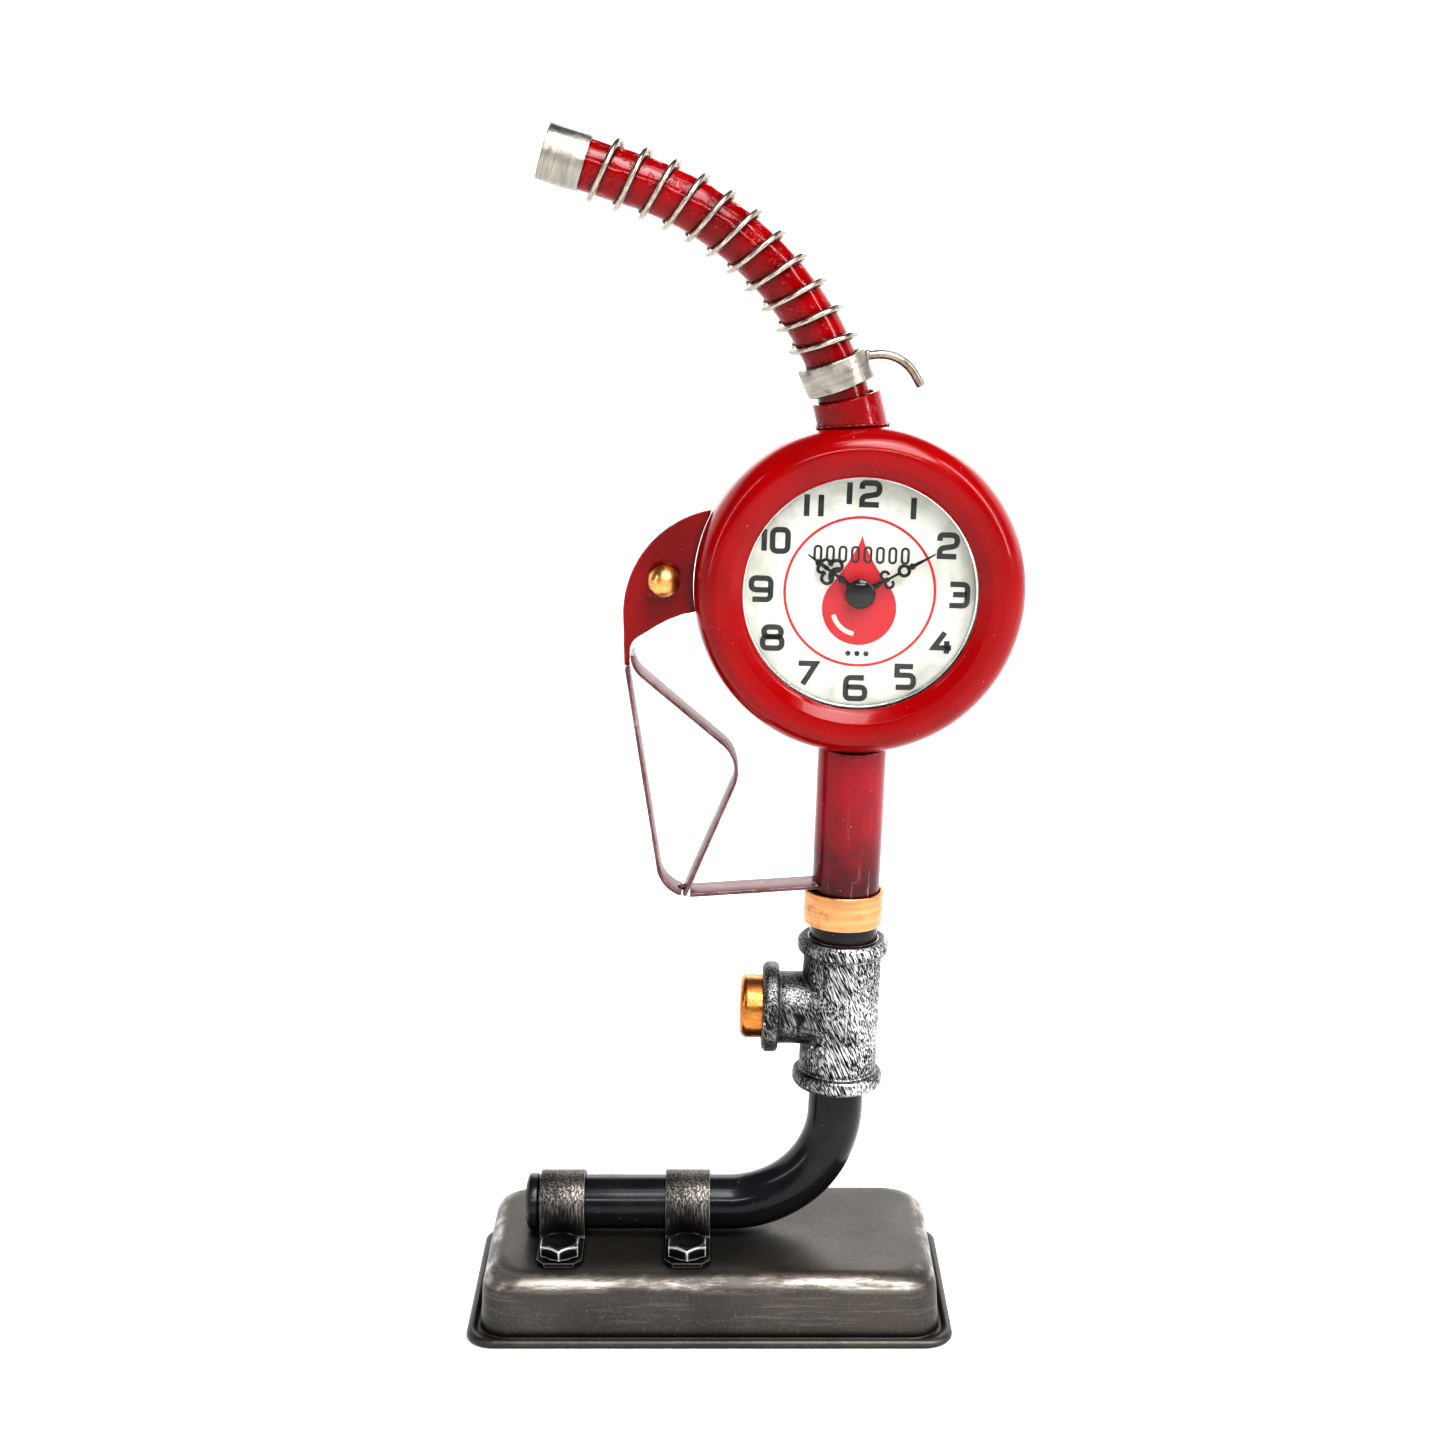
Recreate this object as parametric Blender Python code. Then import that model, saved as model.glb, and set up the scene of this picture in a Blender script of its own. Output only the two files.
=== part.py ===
"""Table clock shaped like an old fuel nozzle, standing on a bent pipe and a pressed steel base.

Dimensions are in millimetres, and every mesh and location is written in metres.
+Z is up, the dial faces -Y and the spout leans towards -X.
The origin is on the table, under the middle of the whole clock.
"""
import math

import bmesh
import bpy
from mathutils import Vector

MM = 0.001
GAP = 0.3
SHARP_ANGLE = math.radians(35)

# Base pan
BASE_LENGTH = 180.0
BASE_DEPTH = 95.0
BASE_HEIGHT = 25.5
PAN_SHEET = 1.6
RIM_WIDTH = 4.8
RIM_THICKNESS = 3.4
PAN_EDGE_RADIUS = 8.0
PAN_DRAFT = 0.9

# Bent pipe
PIPE_RADIUS = 10.25
PIPE_WALL = 1.5
CAP_LIP_RADIUS = PIPE_RADIUS + 0.45
PIPE_HEIGHT = BASE_HEIGHT + GAP + CAP_LIP_RADIUS
PIPE_BEND_RADIUS = 40.0
PIPE_LEAN = 1.87
PIPE_BEND_X = -3.64
PIPE_LEFT_X = -76.0
PIPE_IN_TEE = 30.0

# Pipe straps and their bolts
STRAP_WIDTH = 17.0
STRAP_SHEET = 1.5
STRAP_REACH = 33.2
STRAP_X = {"left": -66.9, "right": -19.4}
BOLT_Y = 25.0
BOLT_RADIUS = 4.0
BOLT_HOLE_RADIUS = 4.4
BOLT_FLATS = 14.0
BOLT_HEAD = 5.0
NUT_FLATS = 13.0
NUT_HEIGHT = 6.5
BOLT_END_HEIGHT = 14.5

# Tee, measured along the leaning pipe from the end of its bend
TEE_BOTTOM = 10.3
TEE_LENGTH = 58.3
TEE_BRANCH_HEIGHT = 39.8
TEE_BRANCH_REACH = 29.2
BEAD_RADIUS = 16.8
BEAD_WIDTH = 6.0
TEE_RADIUS = 14.5
BRANCH_RADIUS = 13.6
PLUG_RADIUS = 11.8
PLUG_STAND_OUT = 8.3

# Column
COLUMN_RADIUS = 12.5
COLUMN_WALL = 1.5
COLUMN_BOTTOM = 48.0
BAND_BOTTOM = 74.3
BAND_HEIGHT = 13.0
BAND_OFFSET = -0.6

# Clock head, about the axis of its hands, which stands a little left of the column's axis
HEAD_HEIGHT = 201.4
HEAD_SHIFT = -0.6
HEAD_DROP = 1.2
DRUM_RADIUS = 58.8
DRUM_WALL = 1.2
DRUM_FRONT = -4.0
DRUM_BACK = 19.0
BEZEL_RADIUS = 58.8
LIP_RADIUS = 41.5
LENS_RADIUS = 43.3
LENS_DOME = 3.2
DIAL_FRONT = -9.5
DIAL_THICKNESS = 0.6
MINUTE_ANGLE = 60.0
HOUR_ANGLE = 305.0
MINUTE_LENGTH = 29.8
HOUR_LENGTH = 23.2

# Quartz movement
CASE_HALF = 28.0
CASE_FRONT = -7.3
CASE_BACK = 4.0
COVER_SHEET = 2.0
ARBOR_X = 8.485
ARBOR_Z = 8.485
MINUTE_MODULE = 0.5
HOUR_MODULE = 0.48
CANNON_TEETH = 12
MINUTE_TEETH = 36
PINION_TEETH = 10
HOUR_TEETH = 40
KNOB_RADIUS = 6.0
BATTERY_RADIUS = 7.1
BATTERY_LENGTH = 50.0
BATTERY_Z = -19.5
BATTERY_Y = 1.3

# Spout, measured from the column's axis at the height of the hands
SPOUT_START = (-5.7, 57.0)
SPOUT_LEAN = 18.3
SPOUT_RADIUS = 9.1
SPOUT_WALL = 1.2
SPOUT_FOOT = 5.0
SPOUT_RUN = 9.6
SPOUT_BEND_RADIUS = 111.0
SPOUT_BEND = 56.0
SPOUT_END_RUN = 32.7
TIP_LENGTH = 15.0
TIP_RADIUS = 10.15
NECK_TOP = (-8.1, 66.4)
NECK_LEAN = 15.2
NECK_RADIUS = 12.2
COLLAR_STATION = 18.4
COLLAR_RADIUS = 12.25
COLLAR_HEIGHT = 10.4
WIRE_RADIUS = 1.05
COIL_RADIUS = 11.25
COIL_START = 28.0
COIL_PITCH = 9.85
COIL_TURNS = 10.55

# Trigger side, measured from the same place
HORN_THICKNESS = 2.5
HORN_CENTRE = (-46.0, -12.7)
HORN_RADIUS = 38.5
FLAT_WIDTH = 13.0
FLAT_SHEET = 1.5
BALL_RADIUS = 5.75
BALL_PLACE = (-70.1, -0.3)


# Mesh helpers


def bridge(bm, first, second):
    """Join two rings of vertices, either of which may be a single point."""
    count = max(len(first), len(second))
    for i in range(count):
        j = (i + 1) % count
        if len(first) == 1:
            bm.faces.new((first[0], second[i], second[j]))
        elif len(second) == 1:
            bm.faces.new((first[i], first[j], second[0]))
        else:
            bm.faces.new((first[i], first[j], second[j], second[i]))


def loft(rings, closed=False):
    """Skin a list of point rings; closed joins the last ring to the first."""
    bm = bmesh.new()
    loops = [[bm.verts.new(Vector(p) * MM) for p in ring] for ring in rings]
    for first, second in zip(loops, loops[1:]):
        bridge(bm, first, second)
    if closed:
        bridge(bm, loops[-1], loops[0])
    else:
        for loop in (loops[0], loops[-1]):
            if len(loop) > 2:
                bm.faces.new(loop)
    bmesh.ops.recalc_face_normals(bm, faces=bm.faces)
    return bm


def turned(profile, sides, axis="Z", bored=False):
    """Turn (radius, height) points about an axis; bored closes the profile on itself."""
    rings = []
    for radius, height in profile:
        count = sides if radius > 0 else 1
        ring = []
        for i in range(count):
            angle = 2 * math.pi * i / sides
            a = radius * math.cos(angle)
            b = radius * math.sin(angle)
            point = {"X": (height, a, b), "Y": (a, height, b), "Z": (a, b, height)}[axis]
            ring.append(point)
        rings.append(ring)
    return loft(rings, closed=bored)


def block(low, high):
    """A box between two corners."""
    rings = []
    for z in (low[2], high[2]):
        rings.append([(low[0], low[1], z), (high[0], low[1], z),
                      (high[0], high[1], z), (low[0], high[1], z)])
    return loft(rings)


def arc(centre, radius, start, end, steps):
    """Points (x, z) on an arc, angles in degrees from +X towards +Z."""
    points = []
    for i in range(steps + 1):
        angle = math.radians(start + (end - start) * i / steps)
        points.append((centre[0] + radius * math.cos(angle), centre[1] + radius * math.sin(angle)))
    return points


def route(start, heading, moves):
    """Follow runs (length, steps) and bends (radius, degrees, steps) in the XZ plane.

    The heading is in degrees from +X towards +Z, and a positive bend turns left.
    Returns (x, z, heading) stations.
    """
    x, z = start
    stations = [(x, z, heading)]
    for move in moves:
        if len(move) == 2:
            length, steps = move
            for _ in range(steps):
                x += math.cos(math.radians(heading)) * length / steps
                z += math.sin(math.radians(heading)) * length / steps
                stations.append((x, z, heading))
        else:
            radius, degrees, steps = move
            turn = degrees / steps
            chord = 2 * radius * math.sin(math.radians(abs(turn)) / 2)
            for _ in range(steps):
                x += math.cos(math.radians(heading + turn / 2)) * chord
                z += math.sin(math.radians(heading + turn / 2)) * chord
                heading += turn
                stations.append((x, z, heading))
    return stations


def round_section(station, radius, sides):
    """A circle across a route at one station."""
    x, z, heading = station
    across = Vector((-math.sin(math.radians(heading)), 0, math.cos(math.radians(heading))))
    ring = []
    for i in range(sides):
        angle = 2 * math.pi * i / sides
        offset = across * (radius * math.cos(angle)) + Vector((0, radius * math.sin(angle), 0))
        ring.append(Vector((x, 0, z)) + offset)
    return ring


def pipe(stations, outer, inner, sides):
    """A tube with open ends along a route."""
    skin = [round_section(station, outer, sides) for station in stations]
    bore = [round_section(station, inner, sides) for station in reversed(stations)]
    return loft(skin + bore, closed=True)


def flat_bar(stations, thickness, width, end_width=None):
    """A flat strip along a route, its width across Y; end_width clips the corners."""
    rings = []
    for i, (x, z, heading) in enumerate(stations):
        half = width / 2
        if end_width and i in (0, len(stations) - 1):
            half = end_width / 2
        dx = -math.sin(math.radians(heading)) * thickness / 2
        dz = math.cos(math.radians(heading)) * thickness / 2
        rings.append([(x + dx, -half, z + dz), (x + dx, half, z + dz),
                      (x - dx, half, z - dz), (x - dx, -half, z - dz)])
    return loft(rings)


def plate(outline, front, back):
    """An outline of (x, z) points with a thickness along Y."""
    return loft([[(x, front, z) for x, z in outline], [(x, back, z) for x, z in outline]])


def hex_ring(flats, height, chamfer=1.0):
    """Twelve points round a hexagon: corners and middles of the flats."""
    ring = []
    for i in range(12):
        angle = math.radians(30 * i)
        corner = flats / math.sqrt(3) if i % 2 else flats / 2
        radius = min(corner, chamfer * flats / math.sqrt(3))
        ring.append((radius * math.cos(angle), radius * math.sin(angle), height))
    return ring


def circle(radius, height, sides=12):
    """A level circle about Z."""
    return [(radius * math.cos(2 * math.pi * i / sides), radius * math.sin(2 * math.pi * i / sides), height)
            for i in range(sides)]


def toothed(radius, module, teeth, y):
    """A ring of pointed teeth about Y, two points to a tooth."""
    ring = []
    for i in range(2 * teeth):
        r = radius + 0.35 * module if i % 2 == 0 else radius - 0.85 * module
        angle = math.pi * i / teeth
        ring.append((r * math.cos(angle), y, r * math.sin(angle)))
    return ring


# Scene helpers


def clear_scene():
    for obj in list(bpy.data.objects):
        bpy.data.objects.remove(obj, do_unlink=True)


def frame_at(name, location, lean=0.0, parent=None):
    """An empty that carries the pieces built about it; lean is in degrees towards +X."""
    empty = bpy.data.objects.new(name, None)
    empty.location = Vector(location) * MM
    empty.rotation_euler = (0, math.radians(lean), 0)
    empty.parent = parent
    bpy.context.scene.collection.objects.link(empty)
    return empty


def material(name, colour, roughness, metallic):
    mat = bpy.data.materials.new(name)
    mat.use_nodes = True
    shader = mat.node_tree.nodes["Principled BSDF"]
    shader.inputs["Base Color"].default_value = (*colour, 1.0)
    shader.inputs["Roughness"].default_value = roughness
    shader.inputs["Metallic"].default_value = metallic
    return mat


RED_LACQUER = ((0.45, 0.005, 0.012), 0.25, 0.0)
DARK_RED = ((0.22, 0.004, 0.006), 0.35, 0.0)
BLACK_ENAMEL = ((0.008, 0.008, 0.01), 0.2, 0.0)
GUNMETAL = ((0.09, 0.08, 0.075), 0.4, 0.8)
DARK_STEEL = ((0.06, 0.055, 0.05), 0.4, 0.9)
CAST_IRON = ((0.2, 0.2, 0.2), 0.45, 0.8)
COPPER = ((0.7, 0.35, 0.16), 0.25, 1.0)
BRASS = ((0.75, 0.5, 0.2), 0.25, 1.0)
SILVER = ((0.6, 0.58, 0.52), 0.3, 1.0)
MAUVE_STEEL = ((0.2, 0.1, 0.1), 0.4, 0.4)
CREAM_PAPER = ((0.85, 0.83, 0.74), 0.6, 0.0)
BLACK_PLASTIC = ((0.01, 0.01, 0.01), 0.4, 0.0)
WHITE_PLASTIC = ((0.8, 0.8, 0.78), 0.4, 0.0)
GLASS = ((0.9, 0.95, 0.95), 0.05, 0.0)
GREEN_BOARD = ((0.02, 0.15, 0.05), 0.5, 0.0)


def piece(name, bm, finish, parent=None, location=(0, 0, 0), turn=(0, 0, 0)):
    """Make one named object from a bmesh, with its own material."""
    mesh = bpy.data.meshes.new(name)
    bm.to_mesh(mesh)
    bm.free()
    mesh.shade_smooth()
    mesh.set_sharp_from_angle(angle=SHARP_ANGLE)
    mesh.materials.append(material(name, *finish))
    obj = bpy.data.objects.new(name, mesh)
    bpy.context.scene.collection.objects.link(obj)
    obj.parent = parent
    obj.location = Vector(location) * MM
    obj.rotation_euler = [math.radians(a) for a in turn]
    return obj


def tool(name, bm, parent=None, location=(0, 0, 0), turn=(0, 0, 0)):
    """A hidden shape that only cuts or joins others."""
    mesh = bpy.data.meshes.new(name)
    bm.to_mesh(mesh)
    bm.free()
    obj = bpy.data.objects.new(name, mesh)
    bpy.context.scene.collection.objects.link(obj)
    obj.parent = parent
    obj.location = Vector(location) * MM
    obj.rotation_euler = [math.radians(a) for a in turn]
    obj.hide_render = True
    obj.display_type = "WIRE"
    return obj


def combine(obj, other, operation="DIFFERENCE"):
    modifier = obj.modifiers.new(other.name, "BOOLEAN")
    modifier.operation = operation
    modifier.solver = "EXACT"
    modifier.object = other


def rod(radius, start, end, sides, axis="Z"):
    """A plain round bar, used as a cutter."""
    return turned([(0, start), (radius, start), (radius, end), (0, end)], sides, axis)


# Base and pipe


def rounded_rectangle(inset, height, corner, base_x):
    """Twenty-eight points round the pan at one level."""
    half_x = BASE_LENGTH / 2 - inset
    half_y = BASE_DEPTH / 2 - inset
    ring = []
    for quarter in range(4):
        sx = (1, -1, -1, 1)[quarter]
        sy = (1, 1, -1, -1)[quarter]
        for i in range(7):
            angle = math.radians(90 * quarter + 15 * i)
            x = base_x + sx * (half_x - corner) + corner * math.cos(angle)
            y = sy * (half_y - corner) + corner * math.sin(angle)
            ring.append((x, y, height))
    return ring


def base_pan(base_x):
    shoulder = BASE_HEIGHT - PAN_EDGE_RADIUS
    wall = RIM_WIDTH + PAN_DRAFT
    outer = [(0.7, 0.0, 10), (0.0, 0.9, 10.5), (0.0, 2.6, 10.5), (0.8, RIM_THICKNESS, 10),
             (RIM_WIDTH - 0.7, RIM_THICKNESS, 11), (RIM_WIDTH, RIM_THICKNESS + 1.0, 11.5)]
    inner = []
    for degrees in (0, 30, 60, 90):
        angle = math.radians(degrees)
        reach = wall + PAN_EDGE_RADIUS
        drop = PAN_EDGE_RADIUS - PAN_SHEET
        outer.append((reach - PAN_EDGE_RADIUS * math.cos(angle),
                      shoulder + PAN_EDGE_RADIUS * math.sin(angle), 13))
        inner.append((reach - drop * math.cos(angle), shoulder + drop * math.sin(angle), 11.6))
    inner.reverse()
    inner.append((RIM_WIDTH + PAN_SHEET, 0.0, 10.5))
    levels = outer + inner
    rings = [rounded_rectangle(inset, height, corner, base_x) for inset, height, corner in levels]
    bm = loft_pan(rings, len(outer))
    pan = piece("base_pan", bm, GUNMETAL)
    for side, x in STRAP_X.items():
        for end, y in (("front", -BOLT_Y), ("rear", BOLT_Y)):
            hole = tool(f"pan_hole_{side}_{end}", rod(BOLT_HOLE_RADIUS, 20, 30, 16), location=(x, y, 0))
            combine(pan, hole)


def loft_pan(rings, outer_count):
    """Skin the outside up to the top, skip across the sheet, and skin the inside down to the rim."""
    bm = bmesh.new()
    loops = [[bm.verts.new(Vector(p) * MM) for p in ring] for ring in rings]
    for i in range(len(loops) - 1):
        if i != outer_count - 1:
            bridge(bm, loops[i], loops[i + 1])
    bm.faces.new(loops[outer_count - 1])
    bm.faces.new(loops[outer_count])
    bridge(bm, loops[-1], loops[0])
    bmesh.ops.recalc_face_normals(bm, faces=bm.faces)
    return bm


def pipe_route():
    return route((PIPE_LEFT_X, PIPE_HEIGHT), 0, [
        (PIPE_BEND_X - PIPE_LEFT_X, 2),
        (PIPE_BEND_RADIUS, 90 - PIPE_LEAN, 9),
        (PIPE_IN_TEE, 1)])


def standpipe():
    piece("standpipe", pipe(pipe_route(), PIPE_RADIUS, PIPE_RADIUS - PIPE_WALL, 20), BLACK_ENAMEL)


def pipe_end_cap():
    lip = CAP_LIP_RADIUS
    bore = PIPE_RADIUS - PIPE_WALL - GAP
    profile = [(0, -4.9), (lip - 1.6, -4.9), (lip, -3.6), (lip, -GAP), (bore, -GAP), (bore, 9), (0, 9)]
    piece("pipe_end_cap", turned(profile, 20, "X"), BLACK_PLASTIC, location=(PIPE_LEFT_X, 0, PIPE_HEIGHT))


def pipe_strap(side, x):
    """A saddle over the pipe with a tab each side; its route runs along Y."""
    radius = PIPE_RADIUS + GAP + STRAP_SHEET / 2
    tab = BASE_HEIGHT + GAP + STRAP_SHEET / 2
    bend = 2.2
    rise = PIPE_HEIGHT - tab - bend
    flat = STRAP_REACH - radius - bend
    stations = route((-STRAP_REACH, tab), 0, [
        (3.5, 1), (flat - 3.5, 1), (bend, 90, 3), (rise, 1), (radius, -180, 10),
        (rise, 1), (bend, 90, 3), (flat - 3.5, 1), (3.5, 1)])
    bm = flat_bar(stations, STRAP_SHEET, STRAP_WIDTH, end_width=STRAP_WIDTH - 6)
    strap = piece(f"pipe_strap_{side}", bm, DARK_STEEL, location=(x, 0, 0), turn=(0, 0, 90))
    for end, y in (("front", -BOLT_Y), ("rear", BOLT_Y)):
        hole = tool(f"strap_hole_{side}_{end}", rod(BOLT_HOLE_RADIUS, 20, 32, 16), location=(x, y, 0))
        combine(strap, hole)


def strap_bolt(name, x, y):
    seat = BASE_HEIGHT + 2 * GAP + STRAP_SHEET
    rings = [circle(BOLT_RADIUS - 0.6, BOLT_END_HEIGHT), circle(BOLT_RADIUS, BOLT_END_HEIGHT + 0.8),
             circle(BOLT_RADIUS, seat), hex_ring(BOLT_FLATS, seat),
             hex_ring(BOLT_FLATS, seat + BOLT_HEAD - 1.0), hex_ring(BOLT_FLATS, seat + BOLT_HEAD, 0.84)]
    piece(name, loft(rings), DARK_STEEL, location=(x, y, 0))


def strap_nut(name, x, y):
    top = BASE_HEIGHT - PAN_SHEET - GAP
    bottom = top - NUT_HEIGHT
    bore = BOLT_RADIUS + GAP
    rings = [circle(bore, bottom), hex_ring(NUT_FLATS, bottom, 0.86), hex_ring(NUT_FLATS, bottom + 0.9),
             hex_ring(NUT_FLATS, top), circle(bore, top)]
    piece(name, loft(rings, closed=True), DARK_STEEL, location=(x, y, 0))


def fasteners():
    for side, x in STRAP_X.items():
        pipe_strap(side, x)
        for end, y in (("front", -BOLT_Y), ("rear", BOLT_Y)):
            strap_bolt(f"strap_bolt_{side}_{end}", x, y)
            strap_nut(f"strap_nut_{side}_{end}", x, y)


# Tee and column


def pipe_tee(lean):
    top = TEE_BOTTOM + TEE_LENGTH
    step = 1.2
    run = [(0, TEE_BOTTOM), (BEAD_RADIUS - step, TEE_BOTTOM), (BEAD_RADIUS, TEE_BOTTOM + step),
           (BEAD_RADIUS, TEE_BOTTOM + BEAD_WIDTH - step), (TEE_RADIUS, TEE_BOTTOM + BEAD_WIDTH + step),
           (TEE_RADIUS, top - BEAD_WIDTH - step), (BEAD_RADIUS, top - BEAD_WIDTH + step),
           (BEAD_RADIUS, top - step), (BEAD_RADIUS - step, top), (0, top)]
    tee = piece("pipe_tee", turned(run, 24), CAST_IRON, lean)
    reach = TEE_BRANCH_REACH
    side = [(0, 0), (BRANCH_RADIUS, 0), (BRANCH_RADIUS, reach - BEAD_WIDTH - step),
            (BEAD_RADIUS, reach - BEAD_WIDTH + step), (BEAD_RADIUS, reach - step),
            (BEAD_RADIUS - step, reach), (0, reach)]
    place = (0, 0, TEE_BRANCH_HEIGHT)
    branch = tool("tee_branch", turned(side, 24), lean, place, (0, -90, 0))
    lower = tool("tee_lower_bore", rod(PIPE_RADIUS + GAP, 0, TEE_BRANCH_HEIGHT + 0.5, 20), lean)
    upper = tool("tee_upper_bore", rod(COLUMN_RADIUS + GAP, TEE_BRANCH_HEIGHT, top + 5, 24), lean)
    cross = tool("tee_branch_bore", rod(PLUG_RADIUS + GAP, 0.5, reach + 5, 24), lean, place, (0, -90, 0))
    combine(tee, branch, "UNION")
    for bore in (lower, upper, cross):
        combine(tee, bore)


def tee_plug(lean):
    face = PLUG_STAND_OUT
    profile = [(0, -9), (PLUG_RADIUS, -9), (PLUG_RADIUS, face - 1.8), (PLUG_RADIUS - 0.6, face - 0.6),
               (PLUG_RADIUS - 2.0, face), (0, face)]
    place = (-TEE_BRANCH_REACH, 0, TEE_BRANCH_HEIGHT)
    piece("tee_plug", turned(profile, 24), COPPER, lean, place, (0, -90, 0))


def head_cutter(head):
    """The drum's outside with its gap, which trims whatever is welded to the drum."""
    return tool("drum_trim", rod(DRUM_RADIUS + GAP, -40, 40, 96, "Y"), head)


def column_tube(lean, trim):
    top = HEAD_HEIGHT - 45
    profile = [(COLUMN_RADIUS, COLUMN_BOTTOM), (COLUMN_RADIUS, top),
               (COLUMN_RADIUS - COLUMN_WALL, top), (COLUMN_RADIUS - COLUMN_WALL, COLUMN_BOTTOM)]
    tube = piece("column_tube", turned(profile, 24, bored=True), RED_LACQUER, lean)
    combine(tube, trim)


def column_band(lean):
    outer = COLUMN_RADIUS + 2.0
    inner = COLUMN_RADIUS + 0.85
    top = BAND_BOTTOM + BAND_HEIGHT
    profile = [(outer - 0.4, BAND_BOTTOM), (outer, BAND_BOTTOM + 0.4), (outer, top - 0.4),
               (outer - 0.4, top), (inner, top), (inner, BAND_BOTTOM)]
    piece("column_band", turned(profile, 28, bored=True), COPPER, lean, (BAND_OFFSET, 0, 0))


# Clock head


def clock_drum(head):
    inner = DRUM_RADIUS - DRUM_WALL
    profile = [(DRUM_RADIUS, DRUM_FRONT), (DRUM_RADIUS, DRUM_BACK), (inner, DRUM_BACK), (inner, DRUM_FRONT)]
    piece("clock_drum", turned(profile, 48, "Y", bored=True), RED_LACQUER, head)


def bezel_ring(head):
    """A spun ring: rolled rim, face sloping in to the lip, and a spigot inside the drum."""
    crest = (-8.0, 11.7, 50.4)
    front = []
    for degrees in (0, 22, 45, 68, 90):
        angle = math.radians(degrees)
        front.append((crest[2] + (BEZEL_RADIUS - crest[2]) * math.cos(angle),
                      crest[0] - crest[1] * math.sin(angle)))
    shoulder = DRUM_FRONT - GAP
    spigot = DRUM_RADIUS - DRUM_WALL - GAP
    sheet = 1.4
    profile = [(BEZEL_RADIUS, shoulder)] + front
    profile += [(46.0, -18.9), (42.4, -16.8), (LIP_RADIUS, -15.6), (LIP_RADIUS, -14.6)]
    profile += [(44.0, -15.7), (50.0, -18.0), (54.6, -14.8), (spigot - sheet, -8.0),
                (spigot - sheet, 2.0), (spigot, 2.0), (spigot, shoulder)]
    piece("bezel_ring", turned(profile, 40, "Y", bored=True), RED_LACQUER, head)


def lens_profile(rim, flat, steps):
    """One face of the domed lens, from the middle to the edge of the dome."""
    points = []
    for i in range(steps + 1):
        radius = flat * i / steps
        points.append((radius, rim - LENS_DOME * (1 - (radius / flat) ** 2)))
    return points


def lens(head):
    front = lens_profile(-14.2, 40.8, 4)
    back = lens_profile(-12.9, 40.8, 4)
    back.reverse()
    profile = front + [(LENS_RADIUS, -14.2), (LENS_RADIUS, -12.9)] + back
    piece("lens", turned(profile, 32, "Y"), GLASS, head)


def dial_parts(head):
    spacer = [(41.7, -12.6), (43.3, -12.6), (43.3, DIAL_FRONT - GAP), (41.7, DIAL_FRONT - GAP)]
    piece("lens_spacer", turned(spacer, 36, "Y", bored=True), SILVER, head)
    back = DIAL_FRONT + DIAL_THICKNESS
    dial = [(4.3, DIAL_FRONT), (46.0, DIAL_FRONT), (46.0, back), (4.3, back)]
    piece("dial_plate", turned(dial, 36, "Y", bored=True), CREAM_PAPER, head)
    clamp = [(44.0, back + GAP), (54.0, back + GAP), (54.0, back + GAP + 1.2), (44.0, back + GAP + 1.2)]
    piece("dial_clamp_ring", turned(clamp, 36, "Y", bored=True), WHITE_PLASTIC, head)


def back_cover(head):
    """A pressed lid with a skirt that plugs the drum and a window for the battery and the knob."""
    outer = DRUM_RADIUS - DRUM_WALL - GAP
    skirt = [(0, DRUM_BACK - 0.2), (outer, DRUM_BACK - 0.2), (outer, 12.0), (outer - 1.0, 12.0),
             (outer - 1.0, DRUM_BACK - 1.2), (0, DRUM_BACK - 1.2)]
    cover = piece("back_cover", turned(skirt, 40, "Y"), DARK_RED, head)
    window = tool("cover_window", block((-31, 10, -31), (31, 30, 31)), head)
    combine(cover, window)


# Quartz movement


def movement_case(head):
    case = piece("movement_case", block((-CASE_HALF, CASE_FRONT, -CASE_HALF),
                                        (CASE_HALF, CASE_BACK, CASE_HALF)), BLACK_PLASTIC, head)
    gears = tool("gear_room", block((-26.5, -5.8, -10.5), (26.5, 9, 26.5)), head)
    bay = tool("battery_room", block((-26.8, -6.3, -27.0), (26.8, 9, -12.0)), head)
    hole = tool("bush_hole", rod(4.2, -12, 0, 16, "Y"), head)
    for cutter in (gears, bay, hole):
        combine(case, cutter)


def movement_cover(head):
    low = (-CASE_HALF, CASE_BACK + GAP, -11.2)
    high = (CASE_HALF, CASE_BACK + GAP + COVER_SHEET, CASE_HALF)
    cover = piece("movement_cover", block(low, high), BLACK_PLASTIC, head)
    hole = tool("arbor_hole", rod(1.5, 0, 12, 12, "Y"), head, (ARBOR_X, 0, ARBOR_Z))
    combine(cover, hole)


def shaft_parts(head):
    bush = [(3.0, -11.2), (3.9, -11.2), (3.9, -5.5), (5.6, -5.5), (5.6, -4.7), (3.0, -4.7)]
    piece("shaft_bush", turned(bush, 16, "Y", bored=True), BRASS, head)
    washer = [(4.4, -8.6), (9.0, -8.6), (9.0, -7.6), (4.4, -7.6)]
    piece("rubber_washer", turned(washer, 16, "Y", bored=True), BLACK_PLASTIC, head)
    rings = [circle(4.25, 9.8), hex_ring(11.0, 9.8), hex_ring(11.0, 10.9, 0.95), circle(4.25, 10.9)]
    piece("bush_nut", loft(rings, closed=True), BRASS, head, turn=(90, 0, 0))


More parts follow.
